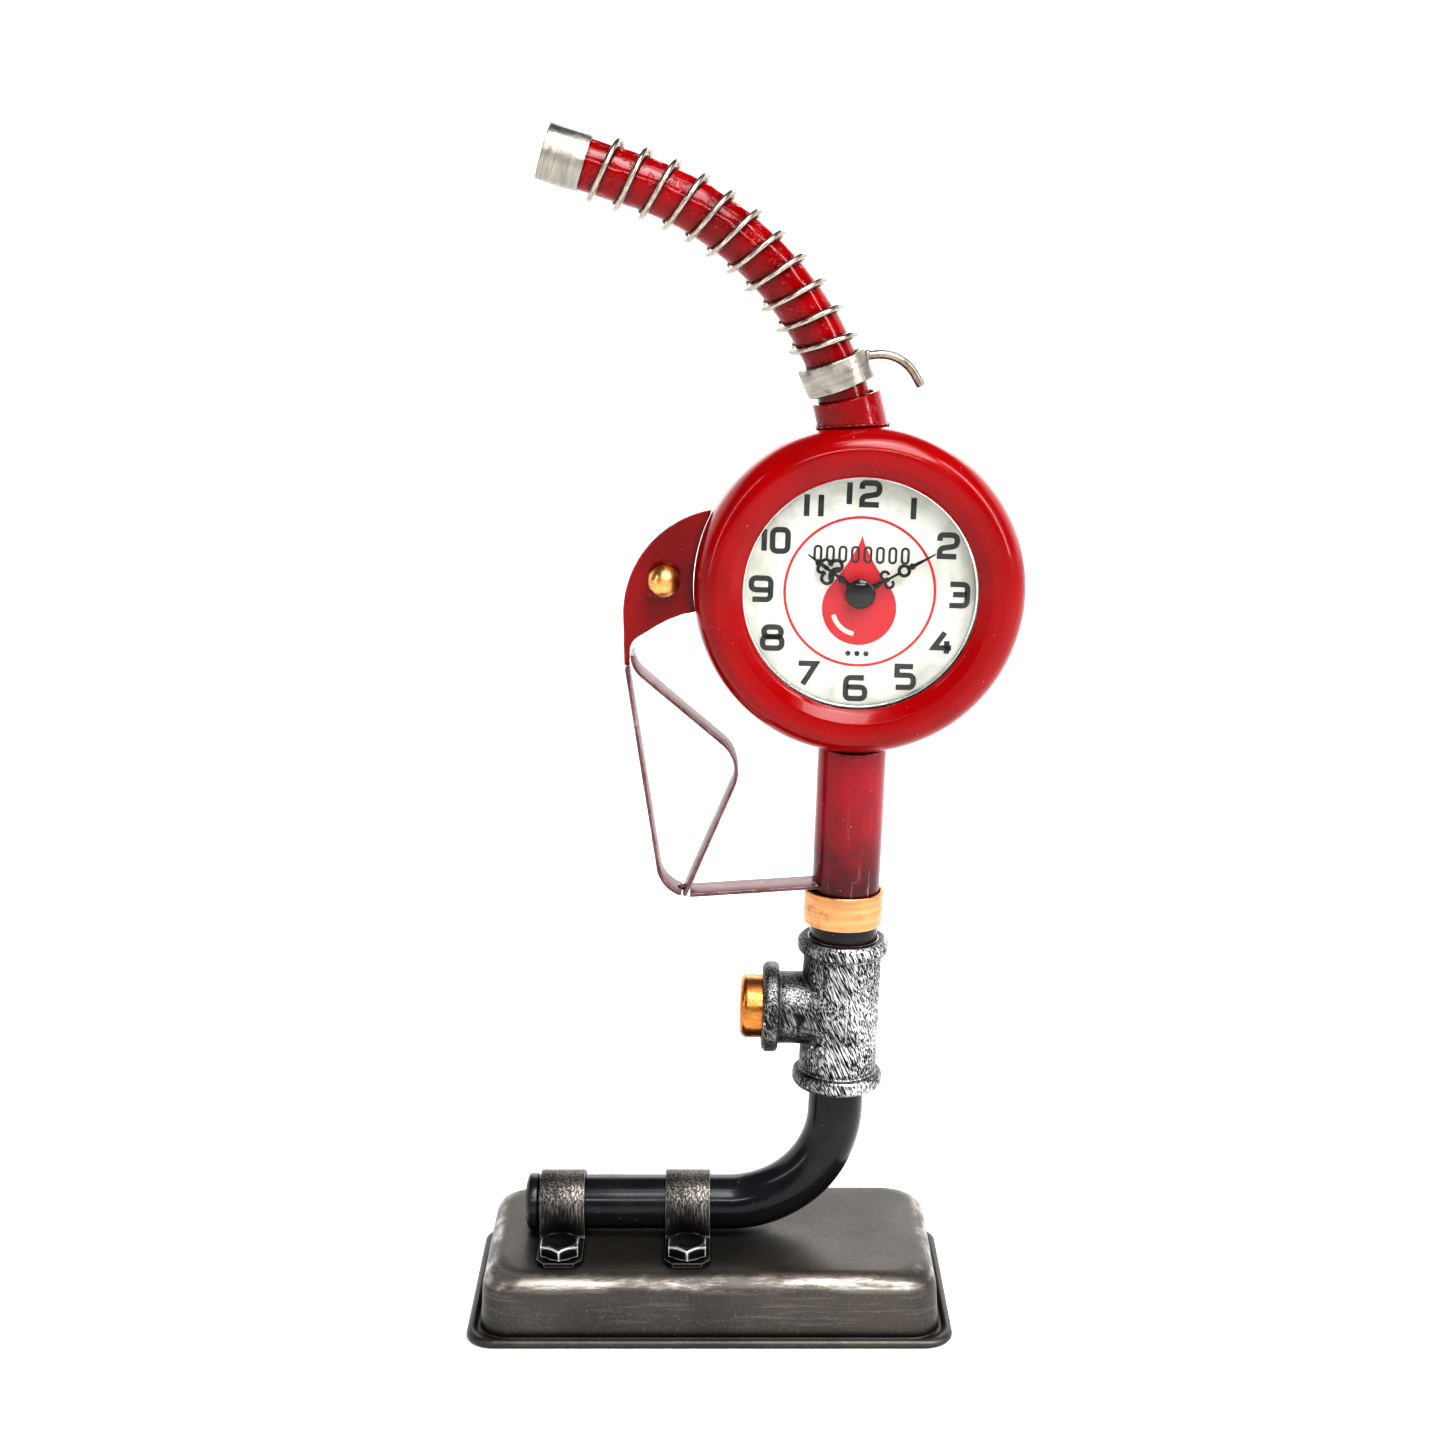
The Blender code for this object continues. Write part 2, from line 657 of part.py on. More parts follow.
def electrics(head):
    """Board, stepping coil, cell and its two contacts."""
    piece("circuit_board", block((-24, -5.0, 13.5), (-2, -4.2, 25.5)), GREEN_BOARD, head)
    coil = [(0, -9), (3.0, -9), (3.0, -7.8), (2.0, -7.8), (2.0, 7.8), (3.0, 7.8), (3.0, 9), (0, 9)]
    piece("drive_coil", turned(coil, 12, "X"), COPPER, head, (-13.0, -0.8, 19.5))
    end = BATTERY_LENGTH / 2
    cell = [(0, -end), (BATTERY_RADIUS - 0.6, -end), (BATTERY_RADIUS, -end + 0.6),
            (BATTERY_RADIUS, end - 2.2), (BATTERY_RADIUS - 0.8, end - 1.5), (2.75, end - 1.5),
            (2.75, end), (0, end)]
    piece("battery", turned(cell, 20, "X"), COPPER, head, (0, BATTERY_Y, BATTERY_Z))
    for name, low, high in (("battery_contact_minus", -26.2, -25.4), ("battery_contact_plus", 25.4, 26.2)):
        tab = block((low, -3.5, BATTERY_Z - 4), (high, 6.0, BATTERY_Z + 4))
        piece(name, tab, SILVER, head)


def gear_disc(radius, module, teeth, bore, front, back):
    count = 2 * teeth
    inner = [[(bore * math.cos(2 * math.pi * i / count), y, bore * math.sin(2 * math.pi * i / count))
              for i in range(count)] for y in (back, front)]
    return loft([toothed(radius, module, teeth, front), toothed(radius, module, teeth, back)] + inner,
                closed=True)


def shaft_ring(radius, count, y):
    return [(radius * math.cos(2 * math.pi * i / count), y, radius * math.sin(2 * math.pi * i / count))
            for i in range(count)]


def hour_train(head):
    """Hour wheel, its pipe through the bush, and the hour hand."""
    half_tooth = 180 / HOUR_TEETH
    mesh_turn = -math.degrees(math.atan2(ARBOR_Z, ARBOR_X)) + half_tooth
    wheel = gear_disc(HOUR_MODULE * HOUR_TEETH / 2, HOUR_MODULE, HOUR_TEETH, 2.9, -4.3, -3.4)
    piece("hour_wheel", wheel, BRASS, head, turn=(0, mesh_turn, 0))
    tube = [(1.9, -12.2), (2.6, -12.2), (2.6, -3.1), (4.5, -3.1), (4.5, -2.8), (1.9, -2.8)]
    piece("hour_pipe", turned(tube, 16, "Y", bored=True), BRASS, head)
    hand("hour_hand", HOUR_LENGTH, 2.9, -12.0, HOUR_ANGLE, head)


def minute_train(head):
    """Cannon pinion, minute hand and the cap on its end."""
    count = 2 * CANNON_TEETH
    radius = MINUTE_MODULE * CANNON_TEETH / 2
    rings = [shaft_ring(1.5, count, -14.0), shaft_ring(1.5, count, -2.7),
             toothed(radius, MINUTE_MODULE, CANNON_TEETH, -2.6),
             toothed(radius, MINUTE_MODULE, CANNON_TEETH, -1.4),
             shaft_ring(1.5, count, -1.3), shaft_ring(1.5, count, 3.7)]
    mesh_turn = -math.degrees(math.atan2(ARBOR_Z, ARBOR_X)) + 180 / CANNON_TEETH
    piece("cannon_pinion", loft(rings), BRASS, head, turn=(0, mesh_turn, 0))
    hand("minute_hand", MINUTE_LENGTH, 1.8, -13.2, MINUTE_ANGLE, head)
    cap = [(0, -15.3), (2.6, -15.1), (4.4, -14.5), (5.35, -13.5), (1.8, -13.5), (1.8, -14.3), (0, -14.3)]
    piece("hand_cap", turned(cap, 20, "Y"), BLACK_PLASTIC, head)


def knob_train(head):
    """Minute wheel and pinion on the arbor that the setting knob turns."""
    place = (ARBOR_X, 0, ARBOR_Z)
    toward_shaft = -math.degrees(math.atan2(-ARBOR_Z, -ARBOR_X))
    wheel = gear_disc(MINUTE_MODULE * MINUTE_TEETH / 2, MINUTE_MODULE, MINUTE_TEETH, 1.3, -2.5, -1.5)
    piece("minute_wheel", wheel, WHITE_PLASTIC, head, place, (0, toward_shaft, 0))
    count = 2 * PINION_TEETH
    radius = HOUR_MODULE * PINION_TEETH / 2
    rings = [shaft_ring(1.0, count, -5.4), shaft_ring(1.0, count, -4.5),
             toothed(radius, HOUR_MODULE, PINION_TEETH, -4.4),
             toothed(radius, HOUR_MODULE, PINION_TEETH, -3.0),
             shaft_ring(1.0, count, -2.9), shaft_ring(1.0, count, 11.0)]
    piece("setting_arbor", loft(rings), BRASS, head, place, (0, toward_shaft, 0))
    knob = [(1.3, 6.7), (KNOB_RADIUS - 0.6, 6.7), (KNOB_RADIUS, 7.3), (KNOB_RADIUS, 11.1),
            (KNOB_RADIUS - 0.6, 11.7), (1.3, 11.7)]
    piece("setting_knob", turned(knob, 20, "Y", bored=True), BLACK_PLASTIC, head, place)


def hand(name, length, bore, front, angle, head):
    """A scrolled hand: hub, thin stem, two lobes and a point, drawn upwards and turned to its hour."""
    hub = 4.6
    right = [(hub * math.sin(math.radians(a)), -hub * math.cos(math.radians(a))) for a in range(30, 150, 24)]
    lobes = [(0.75, 0.24), (0.75, 0.30), (2.4, 0.37), (3.1, 0.45), (2.2, 0.53), (0.8, 0.59), (1.7, 0.65),
             (2.1, 0.71), (1.0, 0.78), (0.55, 0.84), (0.2, 1.0)]
    right += [(half, length * share) for half, share in lobes]
    left = [(-x, z) for x, z in reversed(right)]
    obj = piece(name, plate(right + left, front, front + 0.4), BLACK_PLASTIC, head, turn=(0, angle, 0))
    hole = tool(f"{name}_hole", rod(bore, -20, 0, 16, "Y"), head)
    combine(obj, hole)


# Spout


def spout_route(start_run=0.0):
    start = math.radians(90 + SPOUT_LEAN)
    point = (SPOUT_START[0] + start_run * math.cos(start), SPOUT_START[1] + start_run * math.sin(start))
    return route(point, 90 + SPOUT_LEAN, [
        (SPOUT_RUN - start_run, 1), (SPOUT_BEND_RADIUS, SPOUT_BEND, 12), (SPOUT_END_RUN - 3, 2)])


def spout_point(station):
    """Place and heading (degrees) at a distance along the spout's centreline."""
    bend_length = math.radians(SPOUT_BEND) * SPOUT_BEND_RADIUS
    first = min(station, SPOUT_RUN)
    bent = min(max(station - SPOUT_RUN, 0), bend_length)
    last = max(station - SPOUT_RUN - bend_length, 0)
    moves = [(first, 1)]
    if bent > 0:
        moves.append((SPOUT_BEND_RADIUS, math.degrees(bent / SPOUT_BEND_RADIUS), 8))
    if last > 0:
        moves.append((last, 1))
    return route(SPOUT_START, 90 + SPOUT_LEAN, moves)[-1]


def spout_tube(arm):
    bore = SPOUT_RADIUS - SPOUT_WALL
    piece("spout_tube", pipe(spout_route(SPOUT_FOOT), SPOUT_RADIUS, bore, 18), RED_LACQUER, arm)


def neck_ring(arm, trim):
    bore = SPOUT_RADIUS + GAP + 0.5
    profile = [(NECK_RADIUS, -15), (NECK_RADIUS, -0.5), (NECK_RADIUS - 0.5, 0), (bore, 0), (bore, -15)]
    place = (NECK_TOP[0], 0, NECK_TOP[1])
    neck = piece("neck_ring", turned(profile, 24, bored=True), RED_LACQUER, arm, place, (0, -NECK_LEAN, 0))
    combine(neck, trim)


def spout_collar(arm):
    x, z, heading = spout_point(COLLAR_STATION)
    half = COLLAR_HEIGHT / 2
    bore = SPOUT_RADIUS + GAP + 0.2
    profile = [(COLLAR_RADIUS - 0.5, -half), (COLLAR_RADIUS, -half + 0.5), (COLLAR_RADIUS, half - 0.5),
               (COLLAR_RADIUS - 0.5, half), (bore, half), (bore, -half)]
    piece("spout_collar", turned(profile, 24, bored=True), SILVER, arm, (x, 0, z), (0, 90 - heading, 0))


def spout_tip(arm):
    total = SPOUT_RUN + math.radians(SPOUT_BEND) * SPOUT_BEND_RADIUS + SPOUT_END_RUN
    x, z, heading = spout_point(total)
    bore = SPOUT_RADIUS + GAP
    profile = [(TIP_RADIUS - 0.3, -TIP_LENGTH), (TIP_RADIUS, -TIP_LENGTH + 0.3), (TIP_RADIUS, -0.3),
               (TIP_RADIUS - 0.3, 0), (bore, 0), (bore, -TIP_LENGTH)]
    piece("spout_tip", turned(profile, 20, bored=True), SILVER, arm, (x, 0, z), (0, 90 - heading, 0))


def spout_spring(arm):
    """Round wire wound along the bent spout."""
    steps_per_turn = 11
    sides = 5
    count = int(COIL_TURNS * steps_per_turn)
    middles = []
    outward = []
    for i in range(count + 1):
        turns = i / steps_per_turn - 0.1
        x, z, heading = spout_point(COIL_START + COIL_PITCH * turns)
        across = Vector((math.sin(math.radians(heading)), 0, -math.cos(math.radians(heading))))
        angle = 2 * math.pi * turns
        out = across * math.cos(angle) + Vector((0, -math.sin(angle), 0))
        outward.append(out)
        middles.append(Vector((x, 0, z)) + out * COIL_RADIUS)
    rings = []
    for i, middle in enumerate(middles):
        along = (middles[min(i + 1, count)] - middles[max(i - 1, 0)]).normalized()
        side = along.cross(outward[i]).normalized()
        out = side.cross(along)
        ring = [middle + (out * math.cos(2 * math.pi * k / sides)
                          + side * math.sin(2 * math.pi * k / sides)) * WIRE_RADIUS for k in range(sides)]
        rings.append(ring)
    piece("spout_spring", loft(rings), SILVER, arm)


def hook_rod(arm):
    x, z, heading = spout_point(COLLAR_STATION)
    out = COLLAR_RADIUS + GAP
    up = math.radians(heading)
    start = (x + math.sin(up) * out + 1.9 * math.cos(up), z - math.cos(up) * out + 1.9 * math.sin(up))
    stations = route(start, 8, [(2.8, 1), (14.0, -66, 7), (4.6, 1)])
    rings = [round_section(station, 1.6, 8) for station in stations]
    piece("hook_rod", loft(rings), SILVER, arm)


# Trigger side


def horn_bracket(arm, trim):
    cx, cz = HORN_CENTRE
    outer = arc(HORN_CENTRE, HORN_RADIUS, 96, 180, 12)
    tail = [(cx - HORN_RADIUS + 0.9, -32.4), (-81.7, -32.4), (-81.7, -26.0), (-80.4, -22.9)]
    inner = [(-76.4, -20.3), (-72.1, -17.4), (-67.6, -14.9), (-63.0, -13.0), (-58.9, -12.1), (-50.0, -11.5)]
    half = HORN_THICKNESS / 2
    outline = outer + tail + inner
    horn = piece("horn_bracket", plate(outline, -half, half), DARK_RED, arm)
    hole = tool("rivet_hole", rod(2.8, -9, 9, 16, "Y"), arm, (BALL_PLACE[0], 0, BALL_PLACE[1]))
    combine(horn, trim)
    combine(horn, hole)


def ball_rivet(arm):
    """A ball-headed rivet through the horn, headed over behind it."""
    front = -HORN_THICKNESS / 2 - GAP
    back = HORN_THICKNESS / 2 + GAP
    centre = front - BALL_RADIUS * 0.82
    profile = [(0, centre - BALL_RADIUS)]
    for degrees in (-60, -35, -10, 15, 40):
        angle = math.radians(degrees)
        profile.append((BALL_RADIUS * math.cos(angle), centre + BALL_RADIUS * math.sin(angle)))
    profile += [(3.2, front), (2.5, front), (2.5, back), (4.2, back), (3.4, back + 1.3), (0, back + 1.6)]
    piece("ball_rivet", turned(profile, 16, "Y"), BRASS, arm, (BALL_PLACE[0], 0, BALL_PLACE[1]))


def guard_strap(arm):
    stations = route((-82.5, -32.8), -79.8, [(75.6, 2), (12.0, 64.0, 6)])
    piece("guard_strap", flat_bar(stations, FLAT_SHEET, FLAT_WIDTH), MAUVE_STEEL, arm)


def guard_rail(arm, column_trim):
    stations = route((-57.4, -116.95), -1.3, [(12.0, 6.9, 2), (47.0, 1)])
    rail = piece("guard_rail", flat_bar(stations, FLAT_SHEET, FLAT_WIDTH), MAUVE_STEEL, arm)
    combine(rail, column_trim)


def trigger_strap(arm):
    stations = route((-80.65, -27.6), -88, [
        (10.0, 49.0, 4), (38.4, 1), (14.0, -72.3, 7), (45.2, 1)])
    piece("trigger_strap", flat_bar(stations, FLAT_SHEET, FLAT_WIDTH), MAUVE_STEEL, arm)


def build():
    clear_scene()
    bend = math.radians(PIPE_LEAN)
    lean_x = PIPE_BEND_X + PIPE_BEND_RADIUS * math.cos(bend)
    lean_z = PIPE_HEIGHT + PIPE_BEND_RADIUS * (1 - math.sin(bend))
    head_x = HEAD_SHIFT * math.cos(bend) + HEAD_HEIGHT * math.sin(bend)
    head_right = lean_x + head_x + DRUM_RADIUS
    base_pan(BASE_LENGTH / 2 - head_right)
    standpipe()
    pipe_end_cap()
    fasteners()
    lean = frame_at("lean", (lean_x, 0, lean_z), PIPE_LEAN)
    arm = frame_at("arm", (0, 0, HEAD_HEIGHT), parent=lean)
    head = frame_at("head", (HEAD_SHIFT, 0, -HEAD_DROP), parent=arm)
    drum_trim = head_cutter(head)
    column_trim = tool("column_trim", rod(COLUMN_RADIUS + GAP, 40, 150, 24), lean)
    pipe_tee(lean)
    tee_plug(lean)
    column_tube(lean, drum_trim)
    column_band(lean)
    clock_drum(head)
    bezel_ring(head)
    lens(head)
    dial_parts(head)
    back_cover(head)
    movement_case(head)
    movement_cover(head)
    shaft_parts(head)
    electrics(head)
    hour_train(head)
    minute_train(head)
    knob_train(head)
    neck_ring(arm, drum_trim)
    spout_tube(arm)
    spout_collar(arm)
    spout_tip(arm)
    spout_spring(arm)
    hook_rod(arm)
    horn_bracket(arm, drum_trim)
    ball_rivet(arm)
    guard_strap(arm)
    guard_rail(arm, column_trim)
    trigger_strap(arm)


build()
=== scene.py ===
from math import atan2, cos, degrees, hypot, pi, radians, sin, sqrt, tan

import bmesh
import bpy
from mathutils import Matrix, Vector, noise


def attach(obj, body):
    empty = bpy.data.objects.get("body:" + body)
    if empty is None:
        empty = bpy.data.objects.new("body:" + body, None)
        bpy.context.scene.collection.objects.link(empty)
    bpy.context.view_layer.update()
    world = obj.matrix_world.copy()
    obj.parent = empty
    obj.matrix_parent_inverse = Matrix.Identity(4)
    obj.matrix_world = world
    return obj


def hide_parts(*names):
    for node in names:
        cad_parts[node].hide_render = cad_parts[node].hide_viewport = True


# Looks of the fuel-nozzle table clock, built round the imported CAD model.
# Lengths here are millimetres; MM turns them into the frame's metres.

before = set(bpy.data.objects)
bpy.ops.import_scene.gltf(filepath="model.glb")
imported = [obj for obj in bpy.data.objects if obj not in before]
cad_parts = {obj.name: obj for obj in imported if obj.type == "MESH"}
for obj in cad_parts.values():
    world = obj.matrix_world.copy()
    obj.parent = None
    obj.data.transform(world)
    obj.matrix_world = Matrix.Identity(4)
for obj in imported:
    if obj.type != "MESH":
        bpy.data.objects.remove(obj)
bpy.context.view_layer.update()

MM = 0.001
GAP = 0.3
TURN = 2 * pi

# Stand
PAN_CENTRE = -11.1
PAN_HALF_X = 90.0
PAN_HALF_Y = 47.5
PAN_TOP = 25.5
PAN_SHEET = 1.6
PAN_ROLL = 8.0
PAN_WALL_FOOT = 6.4
RIM_RADIUS = 1.7
PIPE_RADIUS = 10.25
PIPE_HEIGHT = 36.5
PIPE_LEFT = -76.0
PIPE_BEND_X = -3.64
PIPE_BEND_RADIUS = 40.0
LEAN = 1.87
STRAP_X = {"left": -66.9, "right": -19.4}
STRAP_REACH = 33.2
STRAP_SHEET = 1.5
STRAP_WIDTH = 17.0
BOLT_Y = 25.0
BOLT_FLATS = 14.0
NUT_FLATS = 13.0

# Column and tee, along the leaning axis
TEE_LOW = 10.3
TEE_HIGH = 68.6
BRANCH_HEIGHT = 39.8
BRANCH_REACH = 29.2
BEAD = ((14.2, 6.1), (15.9, 5.9), (16.8, 4.9), (16.8, 1.4), (15.4, 0))
COLUMN_RADIUS = 12.5
COLUMN_FOOT = 48.0
BAND_LOW = 74.3
HEAD_HEIGHT = 201.4
HEAD_PLACE = (-0.6, -1.2)

# Head, about the axis of its hands
DRUM_RADIUS = 58.8
LIP_RADIUS = 41.5
CREST_RADIUS = 50.4
CREST_DEPTH = 11.7
SPACER_BORE = 40.8
SPACER_RADIUS = 43.3
DIAL_FRONT = -9.5
PRINT_FRONT = DIAL_FRONT - 0.05
NUMBER_RADIUS = 35.0
NUMBER_HEIGHT = 9.6
NUMBER_STROKE = 1.95
MINUTE_ANGLE = 60.0
HOUR_ANGLE = 305.0
HAND_SHEET = 0.2

# Spout
SPOUT_START = (-5.7, 57.0)
SPOUT_LEAN = 18.3
SPOUT_RADIUS = 9.1
SPOUT_RUN = 9.6
SPOUT_BEND_RADIUS = 111.0
SPOUT_BEND = 56.0
SPOUT_END = 32.7
SPOUT_LENGTH = SPOUT_RUN + radians(SPOUT_BEND) * SPOUT_BEND_RADIUS + SPOUT_END
COLLAR_STATION = 18.4
COLLAR_RADIUS = 12.25

# Trigger side
HORN_CENTRE = (-46.0, -12.7)
HORN_RADIUS = 38.5
STRIP_WIDTH = 13.0
STRIP_SHEET = 1.5
BALL_PLACE = (-70.1, -0.3)
BALL_RADIUS = 5.75

# Stage
FLOOR_SIZE = 40.0
CAMERA_PLACE = (-7.2, -827.1, 433.2)
CAMERA_TILT = 14.05
CAMERA_LENS = 58.75


# Frames


def moved(x, y, z):
    return Matrix.Translation(Vector((x, y, z)) * MM)


def spun(angle, axis="Y"):
    return Matrix.Rotation(radians(angle), 4, axis)


def shifted(x, z, lean=0.0):
    """A frame moved in the XZ plane and leant towards +X, in degrees."""
    return moved(x, 0, z) @ spun(lean)


bend = radians(LEAN)
LEANING = shifted(PIPE_BEND_X + PIPE_BEND_RADIUS * cos(bend),
                  PIPE_HEIGHT + PIPE_BEND_RADIUS * (1 - sin(bend)), LEAN)
ARM = LEANING @ shifted(0, HEAD_HEIGHT)
HEAD = ARM @ shifted(*HEAD_PLACE)
UPRIGHT = Matrix.Identity(4)
SWING = moved(0, 0, BRANCH_HEIGHT) @ spun(-90)


# Meshes


def loft(rings, closed=False):
    """Skin point rings of equal count, or single points; closed joins the last to the first."""
    bm = bmesh.new()
    loops = [[bm.verts.new(Vector(p) * MM) for p in ring] for ring in rings]
    pairs = list(zip(loops, loops[1:]))
    if closed:
        pairs.append((loops[-1], loops[0]))
    for a, b in pairs:
        count = max(len(a), len(b))
        for i in range(count):
            j = (i + 1) % count
            if len(a) == 1:
                bm.faces.new((a[0], b[i], b[j]))
            elif len(b) == 1:
                bm.faces.new((a[i], a[j], b[0]))
            else:
                bm.faces.new((a[i], a[j], b[j], b[i]))
    if not closed:
        for loop in (loops[0], loops[-1]):
            if len(loop) > 2:
                bm.faces.new(loop)
    bmesh.ops.recalc_face_normals(bm, faces=bm.faces)
    return bm


def soften(points, radius, steps=4, closed=False):
    """Round the corners of a 2-D line; a point may carry its own radius as a third number."""
    out = []
    count = len(points)
    for i, point in enumerate(points):
        p = Vector(point[:2])
        r = point[2] if len(point) > 2 else radius
        if not closed and i in (0, count - 1):
            out.append(tuple(p))
            continue
        before = Vector(points[i - 1][:2]) - p
        after = Vector(points[(i + 1) % count][:2]) - p
        reach = min(before.length, after.length) * 0.49
        if r <= 0 or reach < 1e-6:
            out.append(tuple(p))
            continue
        a = before.normalized()
        b = after.normalized()
        half = a.angle(b) / 2
        if half > radians(87):
            out.append(tuple(p))
            continue
        cut = min(r / tan(half), reach)
        r = cut * tan(half)
        centre = p + (a + b).normalized() * (r / sin(half))
        start = p + a * cut - centre
        sweep = start.angle_signed(p + b * cut - centre)
        for k in range(steps + 1):
            angle = -sweep * k / steps
            turned_point = Vector((start.x * cos(angle) - start.y * sin(angle),
                                   start.x * sin(angle) + start.y * cos(angle)))
            out.append(tuple(centre + turned_point))
    return out


def circle(count):
    """Cosine and sine at equal steps of a full turn."""
    return [(cos(TURN * i / count), sin(TURN * i / count)) for i in range(count)]


def arc(x, z, radius, start, sweep, steps):
    """Points along part of a circle, angles in degrees."""
    angles = [radians(start + sweep * k / steps) for k in range(steps + 1)]
    return [(x + radius * cos(a), z + radius * sin(a)) for a in angles]


def turned(profile, sides=96, axis="Z", bored=False):
    """Turn (radius, height) points about an axis."""
    rings = []
    for radius, h in profile:
        points = [(radius * c, radius * n) for c, n in circle(sides if radius > 1e-6 else 1)]
        rings.append([{"X": (h, a, b), "Y": (a, h, b), "Z": (a, b, h)}[axis] for a, b in points])
    return loft(rings, closed=bored)


def route(start, heading, moves):
    """Runs (length, steps) and bends (radius, degrees, steps) in the XZ plane, as (x, z, heading)."""
    x, z = start
    stations = [(x, z, heading)]
    for move in moves:
        for _ in range(move[-1]):
            turn = move[1] / move[2] if len(move) == 3 else 0
            step = 2 * move[0] * sin(radians(abs(turn)) / 2) if turn else move[0] / move[-1]
            x += cos(radians(heading + turn / 2)) * step
            z += sin(radians(heading + turn / 2)) * step
            heading += turn
            stations.append((x, z, heading))
    return stations


def box(left, right, low, high):
    """The four corners of a rectangle."""
    return [(left, low), (right, low), (right, high), (left, high)]


def across(station, u, y):
    """A point u to the left of a station and y along Y."""
    x, z, heading = station
    return (x - u * sin(radians(heading)), y, z + u * cos(radians(heading)))


def tube(stations, outer, inner, sides=64):
    rings = [[across(s, outer * c, outer * n) for c, n in circle(sides)] for s in stations]
    rings += [[across(s, inner * c, inner * n) for c, n in circle(sides)] for s in reversed(stations)]
    return loft(rings, closed=True)


def strip(stations, sheet, width, clip=0.0, clip_run=0.0):
    """A flat bar with softened edges; clip takes the corners off its two ends."""
    rings = []
    lengths = [0.0]
    for a, b in zip(stations, stations[1:]):
        lengths.append(lengths[-1] + hypot(b[0] - a[0], b[1] - a[1]))
    for s, at in zip(stations, lengths):
        near_end = min(at, lengths[-1] - at)
        half = width / 2 - clip * max(0.0, 1 - near_end / clip_run) if clip else width / 2
        section = [(sheet / 2, -half), (sheet / 2, half), (-sheet / 2, half), (-sheet / 2, -half)]
        rings.append([across(s, u, y) for u, y in soften(section, sheet * 0.3, 2, closed=True)])
    return loft(rings)


def swept(points, width, depth=None, sides=10, up=None, closed=False, taper=None):
    """A round or flattened bar along 3-D points; up is one vector or one for each point."""
    depth = width if depth is None else depth
    points = [Vector(p) for p in points]
    count = len(points)
    rings = []
    for i, point in enumerate(points):
        after = points[(i + 1) % count] if closed else points[min(i + 1, count - 1)]
        before = points[i - 1] if closed else points[max(i - 1, 0)]
        along = (after - before).normalized()
        reference = Vector((0, 1, 0)) if up is None else Vector(up[i] if isinstance(up, list) else up)
        side = along.cross(reference).normalized()
        lift = side.cross(along)
        size = taper(i / max(count - 1, 1)) if taper else 1.0
        rings.append([point + (side * (width * c) + lift * (depth * n)) * size for c, n in circle(sides)])
    return loft(rings, closed=closed)


def joined(parts):
    """Put several meshes in one."""
    whole = bmesh.new()
    for bm in parts:
        mesh = bpy.data.meshes.new("part")
        bm.to_mesh(mesh)
        bm.free()
        whole.from_mesh(mesh)
        bpy.data.meshes.remove(mesh)
    return whole


def dented(bm, depth, size, seed=0.0):
    """Move a skin in and out by up to depth, in patches of a given size."""
    bm.normal_update()
    shift = Vector((seed, seed * 1.7, -seed))
    for v in bm.verts:
        v.co += v.normal * (depth * MM * noise.noise(v.co / (size * MM) + shift))
    return bm


def drum_at(matrix, x, side):
    """Height in a frame at which a line along its Z meets the drum, above (1) or below (-1) its axis."""
    centre = (matrix.inverted() @ HEAD.translation) / MM
    reach = DRUM_RADIUS + GAP
    return centre.z + side * sqrt(reach ** 2 - (x - centre.x) ** 2)


# Pieces


def piece(name, bm, finish, stands_for=(), matrix=UPRIGHT, body="clock", sharp=38):
    mesh = bpy.data.meshes.new(name)
    bm.to_mesh(mesh)
    bm.free()
    mesh.shade_smooth()
    mesh.set_sharp_from_angle(angle=radians(sharp))
    mesh.materials.append(finish)
    obj = bpy.data.objects.new(name, mesh)
    bpy.context.scene.collection.objects.link(obj)
    obj.matrix_world = matrix
    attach(obj, body)
    if stands_for:
        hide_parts(*stands_for)
    return obj


def stand_in(node, bm, finish, matrix=UPRIGHT, body="clock"):
    """A finer piece in place of one CAD node."""
    return piece(f"{node}_detailed", bm, finish, (node,), matrix, body)


def bevelled(obj, width, segments=3, angle=35):
    modifier = obj.modifiers.new("soft_edges", "BEVEL")
    modifier.width = width * MM
    modifier.segments = segments
    modifier.limit_method = "ANGLE"
    modifier.angle_limit = radians(angle)
    return obj


def recut(node, finish, width):
    """A copy of a CAD node with its edges broken, in place of the node."""
    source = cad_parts[node]
    bm = bmesh.new()
    bm.from_mesh(source.data)
    bmesh.ops.remove_doubles(bm, verts=bm.verts, dist=0.002 * MM)
    bmesh.ops.dissolve_limit(bm, angle_limit=radians(1.0), verts=bm.verts, edges=bm.edges)
    for layer in list(bm.loops.layers.float_vector.values()):
        bm.loops.layers.float_vector.remove(layer)
    return bevelled(stand_in(node, bm, finish), width, 2)


# Finishes


